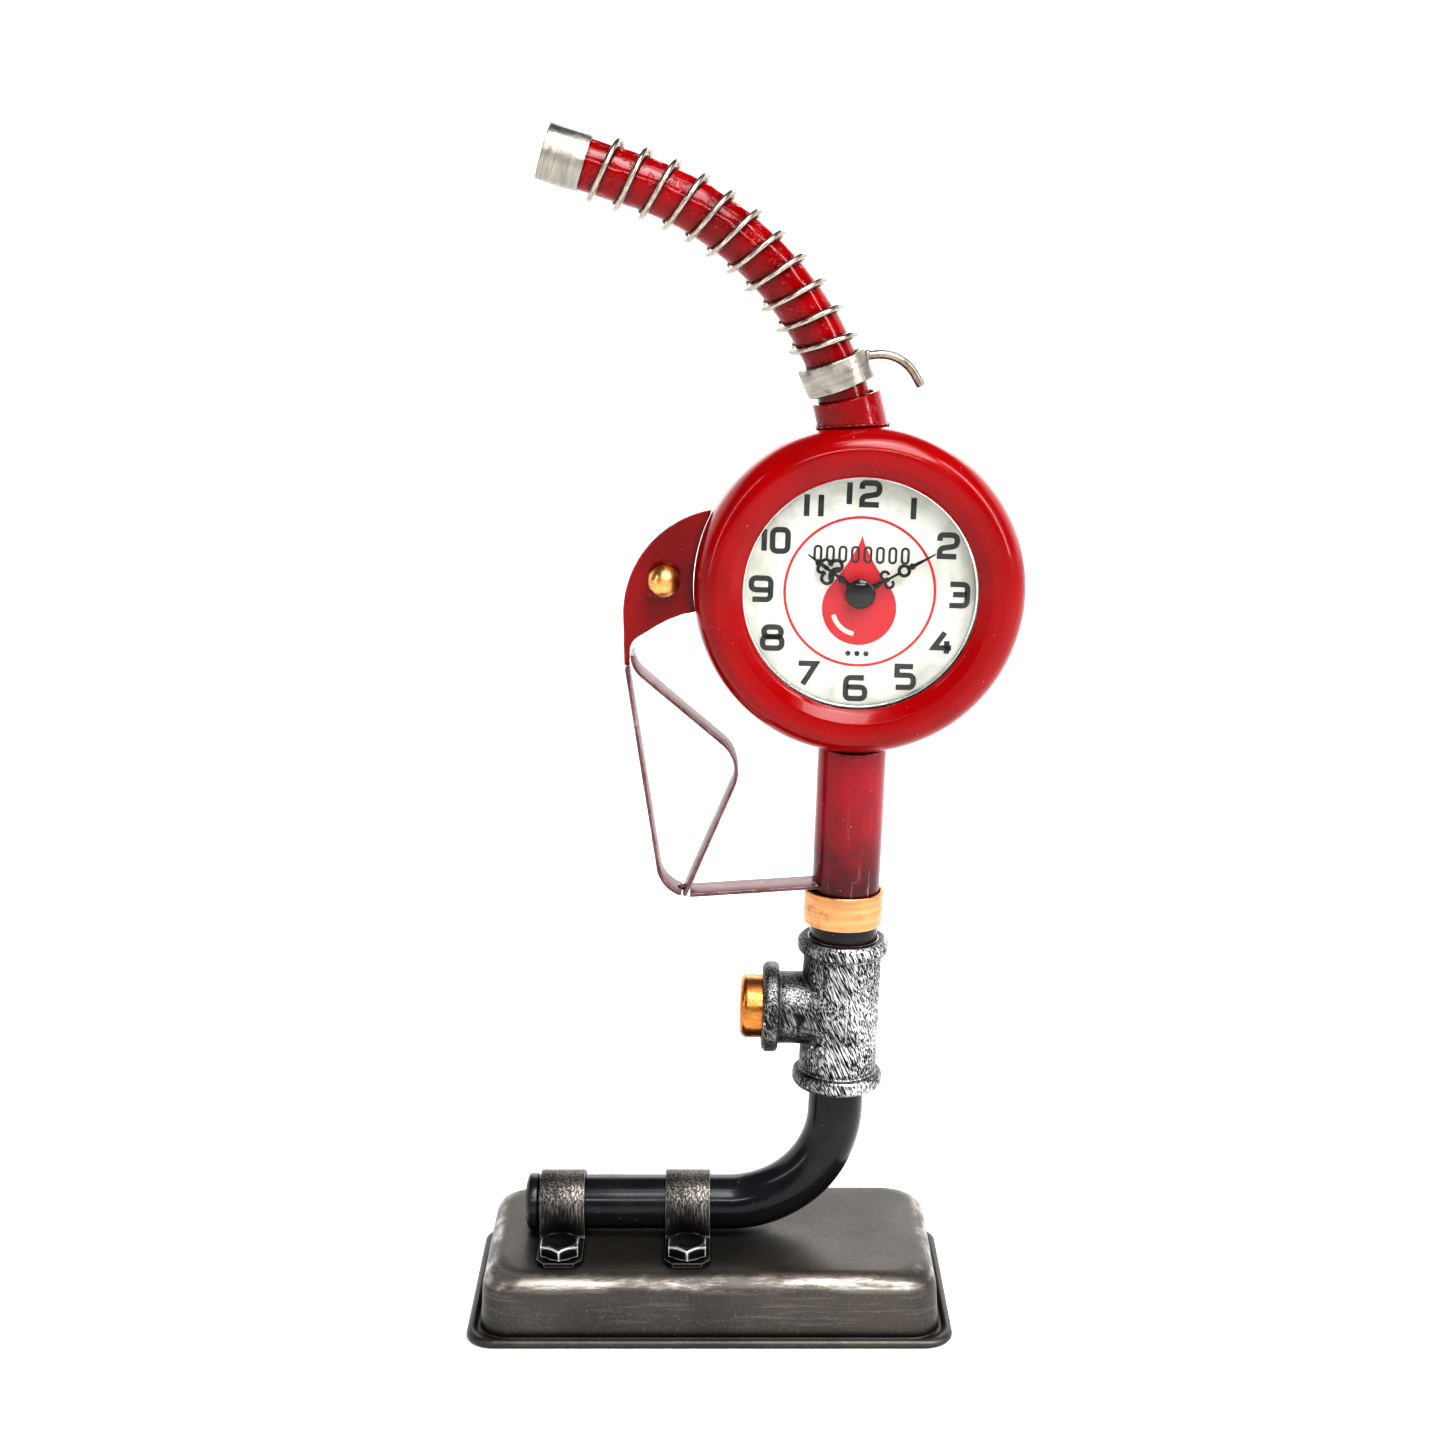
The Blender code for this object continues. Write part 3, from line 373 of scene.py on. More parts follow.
class Finish:
    """One node material, built up step by step. Texture sizes are in millimetres."""

    def __init__(self, name, colour, rough, metallic=0.0, **extra):
        self.material = bpy.data.materials.new(name)
        self.material.use_nodes = True
        self.tree = self.material.node_tree
        self.shader = self.tree.nodes["Principled BSDF"]
        self.coords = self.add("ShaderNodeTexCoord").outputs["Object"]
        self.set("Base Color", (*colour, 1.0))
        self.set("Roughness", rough)
        self.set("Metallic", metallic)
        for key, value in extra.items():
            self.set(key.replace("_", " "), value)

    def add(self, kind, inputs=None, **settings):
        node = self.tree.nodes.new(kind)
        for key, value in settings.items():
            setattr(node, key, value)
        for key, value in (inputs or {}).items():
            self.feed(node.inputs[key], value)
        return node

    def feed(self, socket, value):
        if isinstance(value, bpy.types.NodeSocket):
            self.tree.links.new(value, socket)
        else:
            socket.default_value = value

    def set(self, name, value):
        self.feed(self.shader.inputs[name], value)

    def stretched(self, scale, turn):
        """Object coordinates turned (degrees), then scaled."""
        rotation = [radians(a) for a in turn]
        turned_by = self.add("ShaderNodeMapping", {"Vector": self.coords, "Rotation": rotation})
        node = self.add("ShaderNodeMapping", {"Vector": turned_by.outputs["Vector"], "Scale": scale})
        return node.outputs["Vector"]

    def cloud(self, size, detail=4.0, rough=0.55, scale=None, turn=(0, 0, 0), warp=0.0):
        vector = self.stretched(scale, turn) if scale else self.coords
        node = self.add("ShaderNodeTexNoise", {
            "Vector": vector, "Scale": 1 / (size * MM), "Detail": detail, "Roughness": rough,
            "Distortion": warp})
        return node.outputs["Fac"]

    def specks(self, size, threshold):
        """Small scattered dots, 1 on each dot."""
        node = self.add("ShaderNodeTexVoronoi", {"Vector": self.coords, "Scale": 1 / (size * MM)})
        return self.ramp(node.outputs["Distance"], threshold, threshold - 0.02)

    def ramp(self, value, low, high, to_low=0.0, to_high=1.0):
        """Smooth step from to_low, at low, to to_high, at high."""
        node = self.add("ShaderNodeMapRange", {
            "Value": value, "From Min": low, "From Max": high, "To Min": to_low, "To Max": to_high},
            interpolation_type="SMOOTHSTEP")
        return node.outputs["Result"]

    def sum(self, operation, a, b):
        """One step of arithmetic, kept between 0 and 1."""
        node = self.add("ShaderNodeMath", {0: a, 1: b}, operation=operation, use_clamp=True)
        return node.outputs["Value"]

    def times(self, a, b):
        return self.sum("MULTIPLY", a, b)

    def mix(self, factor, a, b):
        node = self.add("ShaderNodeMix", data_type="RGBA")
        colours = [s for s in node.inputs if s.type == "RGBA"]
        self.feed(node.inputs["Factor"], factor)
        self.feed(colours[0], (*a, 1.0) if isinstance(a, tuple) else a)
        self.feed(colours[1], (*b, 1.0) if isinstance(b, tuple) else b)
        return [s for s in node.outputs if s.type == "RGBA"][0]

    def lay(self, under, colour, where, amount=1.0):
        """A colour laid over a shade where a mask is 1, up to an amount."""
        return self.mix(self.times(where, amount) if amount < 1 else where, under, colour)

    def edges(self, radius, low=0.01, high=0.09):
        """1 on worn outer edges, found from how the surface bends within a radius."""
        soft = self.add("ShaderNodeBevel", {"Radius": radius * MM}, samples=6)
        plain = self.add("ShaderNodeNewGeometry")
        normals = {0: soft.outputs["Normal"], 1: plain.outputs["Normal"]}
        node = self.add("ShaderNodeVectorMath", normals, operation="DOT_PRODUCT")
        return self.ramp(node.outputs["Value"], 1 - low, 1 - high)

    def crevices(self, distance):
        """1 in corners and gaps narrower than a distance, 0 in the open: the mask for painted shade."""
        node = self.add("ShaderNodeAmbientOcclusion", {"Distance": distance * MM}, samples=8)
        return self.ramp(node.outputs["AO"], 0.92, 0.42)

    def done(self, colour, rough, *layers):
        """Connect colour, roughness and the bumps, each (value, depth in millimetres)."""
        self.set("Base Color", colour)
        self.set("Roughness", rough)
        normal = None
        for value, depth in layers:
            node = self.add("ShaderNodeBump", {"Height": value, "Strength": 1.0, "Distance": depth * MM})
            if normal is not None:
                self.feed(node.inputs["Normal"], normal)
            normal = node.outputs["Normal"]
        self.set("Normal", normal)
        return self.material

    def height(self, axis):
        """One object coordinate in metres."""
        return self.add("ShaderNodeSeparateXYZ", {0: self.coords}).outputs[axis]


def lacquer(name, colour, deep, rough=0.2, dents=0.0, fade=None, worn=0.0, gloss=0.15):
    """Gloss paint with orange peel, dust specks, painted shade in its corners and, if asked, a fade, dents
    and rubbed edges.
    """
    f = Finish(name, colour, rough, 0.0, Specular_IOR_Level=0.18, Coat_Weight=gloss, Coat_Roughness=0.05)
    shade = f.mix(f.ramp(f.cloud(26, 3), 0.35, 0.7), colour, deep)
    if fade:
        low, high, dark = fade
        level = f.ramp(f.height("Z"), low * MM, high * MM)
        uneven = f.sum("ADD", level, f.ramp(f.cloud(7, 5), 0.3, 0.7, -0.12, 0.12))
        shade = f.mix(uneven, dark, shade)
        scratches = f.ramp(f.cloud(1.6, 5, 0.7, scale=(1.0, 1.0, 0.08)), 0.55, 0.75)
        fading = f.times(f.sum("SUBTRACT", 1.0, level), scratches)
        shade = f.lay(shade, (0.42, 0.26, 0.25), fading, 0.5)
        shade = f.mix(f.ramp(f.height("Z"), low * MM, (low - 4) * MM), shade, (0.012, 0.011, 0.011))
    dust = f.times(f.specks(2.6, 0.075), f.ramp(f.cloud(9, 2), 0.52, 0.62))
    shade = f.lay(shade, (0.75, 0.45, 0.45), dust, 0.55)
    if worn:
        rub = f.times(f.edges(worn), f.ramp(f.cloud(3, 5), 0.4, 0.6))
        shade = f.lay(shade, (0.55, 0.5, 0.47), rub, 0.8)
    # painted shade: corners and joints within 3 mm are darkened towards a deep tone of the paint
    shade = f.lay(shade, tuple(c * 0.15 for c in deep), f.crevices(3.0), 0.7)
    layers = [(f.cloud(2.2, 2), 0.02), (dust, 0.03)]
    if dents:
        layers.append((f.ramp(f.cloud(4.5, 3, warp=1.2), 0.55, 0.72), -dents))
    return f.done(shade, f.ramp(f.cloud(14, 5), 0.3, 0.75, rough * 0.75, rough * 1.5), *layers)


def worn_steel(name, dark, light, rough, stroke, amount=(0.45, 0.68), edge=0.8, turn=(0, 0, 0), grain=1.4,
               lit=None, bulges=None):
    """Dark metal dry-brushed with silver: strokes over the faces, bare bright edges and painted shade in
    corners and gaps.

    lit is (axis, from, to): painted light; the silver brushing is thinned towards one end of an object axis,
    between two places, so that end looks shaded and the other lit.
    bulges is the range of Pointiness over which rounded ridges of a dense mesh turn bright.
    """
    f = Finish(name, dark, rough, 0.9)
    strokes = f.cloud(grain, 5, 0.6, scale=stroke, turn=turn, warp=0.15)
    patches = f.cloud(13, 4, 0.6)
    mask = f.ramp(f.sum("ADD", f.times(strokes, 0.74), f.times(patches, 0.26)), *amount)
    # painted light: with lit, the silver fades to 0.38 of itself towards one end, as if that side were in
    # shade
    if lit:
        mask = f.times(mask, f.ramp(f.height(lit[0]), lit[1] * MM, lit[2] * MM, 0.38, 1.0))
    # painted shade: corners and gaps within 8 mm lose their silver and are darkened towards a fifth of the
    # dark colour
    corner_shade_mask = f.crevices(8.0)
    mask = f.sum("SUBTRACT", mask, corner_shade_mask)
    shade = f.mix(f.times(corner_shade_mask, 0.9), f.mix(mask, dark, light), tuple(c * 0.2 for c in dark))
    bare = f.times(f.edges(edge, 0.004, 0.06), f.ramp(f.cloud(2, 5), 0.2, 0.42))
    if bulges:
        bent = f.add("ShaderNodeNewGeometry").outputs["Pointiness"]
        bare = f.sum("MAXIMUM", bare, f.times(f.ramp(bent, *bulges), f.ramp(strokes, 0.36, 0.52)))
    mask = f.sum("MAXIMUM", mask, bare)
    f.set("Metallic", f.ramp(mask, 0, 1, 0.9, 0.6))
    return f.done(f.mix(bare, shade, light), f.ramp(mask, 0, 1, rough * 1.15, rough * 0.8),
                  (strokes, 0.05), (f.cloud(2.4, 4), 0.03))


def strip_finish():
    """Mauve paint, rubbed through to bright metal along the arrises of both edges."""
    f = Finish("strip_paint", (0.09, 0.03, 0.032), 0.34, 0.4)
    streaks = f.cloud(2.2, 6, 0.65, scale=(0.5, 1.0, 0.16))
    shade = f.mix(f.ramp(streaks, 0.35, 0.7), (0.07, 0.02, 0.022), (0.15, 0.07, 0.07))
    patchy = f.ramp(f.cloud(4.5, 6, 0.7), 0.38, 0.58, 0.15, 1.0)
    bare = f.times(f.edges(0.55, 0.005, 0.05), patchy)
    rub = f.times(f.ramp(f.cloud(5, 6, 0.7), 0.6, 0.72), 0.4)
    shade = f.mix(f.sum("MAXIMUM", bare, rub), shade, (0.36, 0.33, 0.33))
    return f.done(shade, f.ramp(streaks, 0.3, 0.7, 0.3, 0.45), (streaks, 0.05), (f.cloud(1.5, 3), 0.03))


def brushed(name, light, dark, rough, stroke, grain=1.2, stains=0.5, leaf=0.0):
    """Bright plated metal with brush lines along one direction, and stains."""
    f = Finish(name, light, rough, 1.0)
    lines = f.cloud(grain, 5, 0.6, scale=stroke)
    blotch = f.cloud(6, 5, 0.62, warp=0.6)
    mask = f.ramp(lines, 0.32, 0.68)
    shade = f.mix(f.times(mask, 0.55), light, dark)
    spots = f.times(f.ramp(blotch, 0.56, 0.7), stains)
    shade = f.mix(spots, shade, tuple(c * 0.35 for c in dark))
    shade = f.lay(shade, tuple(min(1.0, c * 1.25) for c in light), f.edges(0.5), 0.6)
    layers = [(lines, 0.03)]
    if leaf:
        layers.append((f.cloud(3.2, 5, 0.6, warp=1.0), leaf))
    return f.done(shade, f.ramp(blotch, 0.3, 0.7, rough * 0.8, rough * 1.45), *layers)


def moulded(name, colour, rough, grain=0.9, variation=0.25):
    """Plastic, rubber or card: fine grain and a slight change of shade."""
    f = Finish(name, colour, rough)
    lighter = tuple(min(1.0, c * (1 + variation) + 0.004) for c in colour)
    shade = f.mix(f.ramp(f.cloud(11, 4), 0.35, 0.65), colour, lighter)
    roughness = f.ramp(f.cloud(5, 3), 0.3, 0.7, rough * 0.9, min(1.0, rough * 1.2))
    return f.done(shade, roughness, (f.cloud(grain, 3), 0.03), (f.edges(0.4), 0.02))


def glass(name):
    """Thin clear glass: it reflects as Fresnel says and lets the rest through."""
    f = Finish(name, (0.96, 0.99, 0.98), 0.02, 1.0)
    facing = f.add("ShaderNodeLayerWeight", {"Blend": 0.5}).outputs["Facing"]
    steep = f.sum("POWER", facing, 5.0)
    shine = f.sum("ADD", f.times(steep, 0.9), 0.012)
    f.set("Alpha", f.sum("ADD", shine, f.times(f.specks(7, 0.03), 0.1)))
    f.set("Roughness", f.ramp(f.cloud(18, 3), 0.3, 0.7, 0.015, 0.05))
    return f.material


def dial_card():
    """Aged cream card: pale clouds and fine fibres."""
    f = Finish("dial_card", (0.86, 0.84, 0.75), 0.55)
    clouds = f.ramp(f.cloud(16, 6, 0.6, warp=0.8), 0.38, 0.66)
    shade = f.mix(clouds, (0.5, 0.497, 0.462), (0.365, 0.372, 0.32))
    veins = f.times(f.ramp(f.cloud(5, 7, 0.7, warp=1.6), 0.56, 0.62), 0.25)
    shade = f.mix(veins, shade, (0.45, 0.45, 0.38))
    return f.done(shade, f.ramp(f.cloud(9, 4), 0.3, 0.7, 0.42, 0.6), (f.cloud(0.8, 4), 0.015))


def printed(name, colour, fade):
    """Printing ink with a little of the card showing where it is thin."""
    f = Finish(name, colour, 0.45)
    thin = f.times(f.ramp(f.cloud(2.6, 6, 0.7), 0.5, 0.72), 0.5)
    roughness = f.ramp(f.cloud(4, 3), 0.3, 0.7, 0.35, 0.55)
    return f.done(f.mix(thin, colour, fade), roughness, (f.cloud(0.9, 3), 0.01))


RED = (0.2, 0.0, 0.001)
RED_DEEP = (0.165, 0.0, 0.001)
DARK_RED = (0.20, 0.001, 0.004)

red = lacquer("red_gloss", RED, RED_DEEP, 0.2)
drum_red = lacquer("drum_red", RED, RED_DEEP, 0.2, gloss=1.0)
spout_red = lacquer("spout_red", (0.21, 0.0, 0.002), (0.14, 0.0, 0.001), 0.14, dents=0.4)
column_red = lacquer("column_red", (0.23, 0.006, 0.014), (0.18, 0.005, 0.012), 0.2,
                     fade=(84, 130, (0.045, 0.006, 0.008)))
horn_red = lacquer("horn_red", (0.175, 0.0, 0.002), (0.12, 0.0, 0.001), 0.24, worn=0.6)
lid_red = lacquer("lid_red", DARK_RED, (0.14, 0.002, 0.005), 0.3, worn=0.4)
black_gloss = lacquer("black_enamel_pipe", (0.006, 0.006, 0.008), (0.012, 0.012, 0.014), 0.22)
cap_black = lacquer("black_enamel_cap", (0.008, 0.008, 0.009), (0.015, 0.014, 0.014), 0.3, worn=0.25)
hand_black = lacquer("hand_black", (0.004, 0.004, 0.004), (0.008, 0.008, 0.008), 0.25)
cap_gloss = lacquer("cap_gloss", (0.003, 0.003, 0.003), (0.006, 0.006, 0.006), 0.12, gloss=0.4)
# tee_metal and saddle_metal pass lit for painted light: the tee lighter towards +X, the saddles lighter
# towards their tops
tee_metal = worn_steel("tee_iron", (0.012, 0.011, 0.01), (0.6, 0.6, 0.6), 0.42, (1.0, 1.0, 0.06),
                       (0.455, 0.59), 0.9, turn=(0, 26, 0), grain=0.44, lit=("X", -14, 3),
                       bulges=(0.54, 0.62))
saddle_metal = worn_steel("saddle_steel", (0.03, 0.028, 0.026), (0.27, 0.25, 0.225), 0.42, (1.0, 1.0, 0.1),
                          (0.44, 0.7), 0.45, grain=0.6, lit=("Z", 30, 46))
bolt_metal = worn_steel("bolt_steel", (0.018, 0.018, 0.018), (0.8, 0.8, 0.8), 0.34, (0.4, 0.4, 0.4),
                        (0.6, 0.75), 1.3)
strip_paint = strip_finish()
silver_leaf = brushed("silver_leaf", (0.32, 0.305, 0.27), (0.15, 0.14, 0.12), 0.34, (0.08, 0.08, 1.0),
                      leaf=0.16)
copper_band = brushed("copper_band", (0.6, 0.33, 0.165), (0.34, 0.165, 0.07), 0.38, (0.06, 0.06, 1.0),
                      grain=1.6, stains=0.3)
copper_plug = brushed("copper_plug", (0.5, 0.22, 0.07), (0.18, 0.065, 0.018), 0.26, (1.0, 1.0, 0.3),
                      grain=2.4, stains=0.65, leaf=0.1)
ball_gold = brushed("ball_gold", (0.66, 0.36, 0.14), (0.4, 0.2, 0.07), 0.34, (1.0, 1.0, 1.0),
                    grain=1.0, stains=0.4, leaf=0.06)
nickel = brushed("nickel_wire", (0.4, 0.36, 0.31), (0.2, 0.17, 0.14), 0.26, (0.6, 0.6, 0.6), stains=0.4)
hook_steel = brushed("hook_steel", (0.3, 0.25, 0.21), (0.14, 0.11, 0.09), 0.3, (0.6, 0.6, 0.6), stains=0.5)
lip_silver = brushed("lip_silver", (0.62, 0.66, 0.62), (0.45, 0.48, 0.45), 0.2, (0.2, 1.0, 0.2), stains=0.2)
movement_brass = brushed("movement_brass", (0.78, 0.56, 0.25), (0.6, 0.4, 0.15), 0.28, (0.2, 1.0, 0.2))
cell_copper = brushed("cell_copper", (0.72, 0.4, 0.2), (0.5, 0.26, 0.12), 0.3, (1.0, 0.2, 0.2), stains=0.2)
coil_copper = brushed("coil_copper", (0.7, 0.35, 0.14), (0.35, 0.15, 0.05), 0.35, (1.0, 0.05, 0.05),
                      grain=0.5, stains=0.2)
black_plastic = moulded("black_plastic", (0.012, 0.012, 0.012), 0.42)
white_plastic = moulded("white_plastic", (0.78, 0.78, 0.75), 0.45, variation=0.08)
rubber = moulded("rubber", (0.012, 0.012, 0.012), 0.7, grain=0.6)
board_green = moulded("board_green", (0.015, 0.13, 0.04), 0.4, grain=2.0, variation=0.5)
clear = glass("lens_clear")
card = dial_card()
ink_black = printed("ink_black", (0.003, 0.003, 0.003), (0.03, 0.03, 0.028))
ink_red = printed("ink_red", (0.32, 0.0, 0.006), (0.4, 0.025, 0.025))
ink_cream = printed("ink_cream", (0.6, 0.58, 0.5), (0.5, 0.46, 0.38))


def pan_metal():
    """Gunmetal paint: fine speckle, brown haze, rubbed top edge, drawn marks round the wall and painted
    shade in its corners.
    """
    dark = (0.046, 0.042, 0.038)
    f = Finish("pan_gunmetal", dark, 0.42, 0.75)
    haze = f.ramp(f.cloud(38, 4), 0.36, 0.66)
    shade = f.mix(haze, dark, (0.07, 0.063, 0.055))
    speckle = f.ramp(f.cloud(1.1, 3, 0.7), 0.56, 0.68)
    shade = f.lay(shade, (0.17, 0.16, 0.15), speckle, 0.3)
    level = f.height("Z")
    shoulder = f.times(f.ramp(level, 18.5 * MM, 21.5 * MM), f.ramp(level, 25.45 * MM, 24.4 * MM))
    rub = f.times(shoulder, f.ramp(f.cloud(9, 6, 0.65, scale=(0.35, 0.6, 2.2)), 0.42, 0.64))
    shade = f.lay(shade, (0.42, 0.39, 0.35), rub, 0.5)
    drawn = f.cloud(3.0, 6, 0.65, scale=(0.12, 0.12, 2.0))
    wall = f.times(f.ramp(level, 4 * MM, 8 * MM), f.ramp(level, 22 * MM, 17 * MM))
    marks = f.times(wall, f.ramp(drawn, 0.52, 0.7))
    shade = f.lay(shade, (0.2, 0.185, 0.165), marks, 0.3)
    bare = f.times(f.edges(0.9), f.ramp(f.cloud(4, 5), 0.42, 0.6))
    shade = f.lay(shade, (0.3, 0.28, 0.25), bare, 0.6)
    # painted shade: the foot of the wall and other gaps within 4 mm are darkened almost to black
    shade = f.lay(shade, (0.008, 0.007, 0.006), f.crevices(4.0), 0.85)
    return f.done(shade, f.ramp(rub, 0, 1, 0.42, 0.28), (f.cloud(0.8, 3), 0.04), (drawn, 0.05),
                  (f.cloud(30, 2), 0.25))


gunmetal = pan_metal()


# Base


def rounded_rectangle(inset, height, corner, steps=12):
    """Points round the pan at one level, with the straight sides divided."""
    corners = []
    for quarter, (sx, sy) in enumerate(((1, 1), (-1, 1), (-1, -1), (1, -1))):
        x = PAN_CENTRE + sx * (PAN_HALF_X - inset - corner)
        y = sy * (PAN_HALF_Y - inset - corner)
        corners.append([Vector((*p, height)) for p in arc(x, y, corner, 90 * quarter, 90, steps)])
    ring = []
    for points, following, runs in zip(corners, corners[1:] + corners[:1], (16, 8, 16, 8)):
        ring += points + [points[-1].lerp(following[0], k / runs) for k in range(1, runs)]
    return ring


def base():
    """The pan: rolled rim, wall, shoulder and top outside, shoulder and wall inside."""
    shoulder = (13.7, PAN_TOP - PAN_ROLL)
    wall = soften([(2.6, 3.1), (3.5, 1.9), (4.9, 1.9), (shoulder[0] - PAN_ROLL, shoulder[1])], 0.7, 5)
    levels = [(*p, 10.5) for p in arc(RIM_RADIUS, RIM_RADIUS, RIM_RADIUS, 270, -180, 8)]
    levels += [(*p, 11.0) for p in wall]
    levels += [(*p, 12.0 + k / 12) for k, p in enumerate(arc(*shoulder, PAN_ROLL, 180, -90, 12)) if k]
    levels += [(19, PAN_TOP - 0.03, 9.0), (30, PAN_TOP, 4.0), (40, PAN_TOP, 2.0)]
    last_outer = len(levels) - 1
    levels += [(*p, 11.6) for p in arc(*shoulder, PAN_ROLL - PAN_SHEET, 90, 90, 5)]
    levels.append((PAN_WALL_FOOT, 0.0, 10.5))
    bm = bmesh.new()
    loops = [[bm.verts.new(p * MM) for p in rounded_rectangle(*level)] for level in levels]
    for i, (a, b) in enumerate(zip(loops, loops[1:] + loops[:1])):
        if i == last_outer:
            bm.faces.new(a)
            bm.faces.new(b)
            continue
        for k in range(len(a)):
            m = (k + 1) % len(a)
            bm.faces.new((a[k], a[m], b[m], b[k]))
    bmesh.ops.recalc_face_normals(bm, faces=bm.faces)
    stand_in("base_pan", bm, gunmetal)


def stand_pipe():
    stations = route((PIPE_LEFT, PIPE_HEIGHT), 0, [
        (PIPE_BEND_X - PIPE_LEFT, 24), (PIPE_BEND_RADIUS, 90 - LEAN, 36), (30.0, 10)])
    bm = dented(tube(stations, PIPE_RADIUS, PIPE_RADIUS - 1.5, 72), 0.12, 17)
    stand_in("standpipe", bm, black_gloss)
    lip = PIPE_RADIUS + 0.45
    bore = PIPE_RADIUS - 1.8
    profile = [(0, -4.9)] + soften([
        (0, -4.9), (lip * 0.72, -4.9), (lip * 0.76, -4.4), (lip - 1.1, -4.4), (lip, -3.5), (lip, -GAP),
        (bore, -GAP), (bore, 9), (0, 9)], 0.5, 3)[1:]
    place = shifted(PIPE_LEFT, PIPE_HEIGHT)
    stand_in("pipe_end_cap", turned(profile, 80, "X"), cap_black, place)


def hex_head(seat, height, flats, bore=0.0, sides=96):
    """A hexagon chamfered by a cone, on a washer face; bore leaves a hole."""
    round_top = flats / 2 * 0.985
    washer = flats / 2 * 0.94
    top = seat + height
    # Each level is round (0) or hexagonal (1), with its radius or what is added to the hexagon's
    levels = [(0, bore or 0.1, seat), (0, washer, seat), (0, washer, seat + 0.35), (1, -0.12, seat + 0.4),
              (1, 0, seat + 0.6), (1, 0, top - 0.15), (1, -0.15, top), (0, round_top - 0.1, top - 0.05),
              (0, round_top - 0.5, top)]
    if bore:
        levels.append((0, bore, top))
    else:
        levels += [(0, round_top - 1.2, top), (0, round_top - 1.6, top - 0.3), (0, 0.1, top - 0.35)]
    rings = []
    for hexagonal, offset, z in levels:
        ring = []
        for i in range(sides):
            angle = TURN * i / sides
            corner = flats / 2 / cos((angle - pi / 6) % (pi / 3) - pi / 6)
            radius = hexagonal * corner + offset
            fall = (corner - round_top) * 0.62 if hexagonal and z > seat + height / 2 else 0
            ring.append((radius * cos(angle), radius * sin(angle), z - fall))
        rings.append(ring)
    return loft(rings, closed=bool(bore))


def fasteners():
    radius = PIPE_RADIUS + GAP + STRAP_SHEET / 2
    tab = PAN_TOP + GAP + STRAP_SHEET / 2
    fold = 2.2
    rise = PIPE_HEIGHT - tab - fold
    flat = STRAP_REACH - radius - fold
    stations = route((-STRAP_REACH, tab), 0, [
        (3.5, 6), (flat - 3.5, 4), (fold, 90, 6), (rise, 2), (radius, -180, 36),
        (rise, 2), (fold, 90, 6), (flat - 3.5, 4), (3.5, 6)])
    seat = PAN_TOP + 2 * GAP + STRAP_SHEET
    below = PAN_TOP - PAN_SHEET - GAP
    thread = [(0, 14.5), (3.2, 14.5), (3.9, 15.1)]
    for k in range(6):
        thread += [(3.5, 15.5 + k), (3.95, 15.9 + k)]
    thread += [(4.0, 21.9), (4.0, seat + 0.2), (0, seat + 0.2)]
    for side, x in STRAP_X.items():
        bm = dented(strip(stations, STRAP_SHEET, STRAP_WIDTH, 3.0, 3.5), 0.1, 8, seed=x)
        stand_in(f"pipe_strap_{side}", bm, saddle_metal, moved(x, 0, 0) @ spun(90, "Z"))
        for end, y in (("front", -BOLT_Y), ("rear", BOLT_Y)):
            bolt = joined([hex_head(seat, 5.0, BOLT_FLATS), turned(thread, 48)])
            stand_in(f"strap_bolt_{side}_{end}", bolt, bolt_metal, moved(x, y, 0))
            nut = hex_head(below - 6.5, 6.5, NUT_FLATS, bore=4.2)
            stand_in(f"strap_nut_{side}_{end}", nut, bolt_metal, moved(x, y, 0))


# Tee and column


def melted(bm, cutters):
    """One cast skin round several solids, then bored by the cutters."""
    objects = []
    for mesh_source in [bm] + cutters:
        mesh = bpy.data.meshes.new("cast")
        mesh_source.to_mesh(mesh)
        mesh_source.free()
        objects.append(bpy.data.objects.new("cast", mesh))
        bpy.context.scene.collection.objects.link(objects[-1])
    blank = objects[0]
    remesh = blank.modifiers.new("melt", "REMESH")
    remesh.mode = "VOXEL"
    remesh.voxel_size = 0.42 * MM
    smooth = blank.modifiers.new("smooth", "SMOOTH")
    smooth.factor = 0.5
    smooth.iterations = 3
    for cutter in objects[1:]:
        cut = blank.modifiers.new("bore", "BOOLEAN")
        cut.object = cutter
        cut.solver = "EXACT"
    bpy.context.view_layer.update()
    done = bmesh.new()
    done.from_mesh(blank.evaluated_get(bpy.context.evaluated_depsgraph_get()).data)
    for obj in objects:
        bpy.data.objects.remove(obj)
    return done


def swung(bm):
    """Turn a solid from the run of the tee to its branch."""
    bmesh.ops.transform(bm, matrix=SWING, verts=bm.verts)
    return bm


def drill(radius, low, high):
    return turned([(0, low), (radius, low), (radius, high), (0, high)], 72)


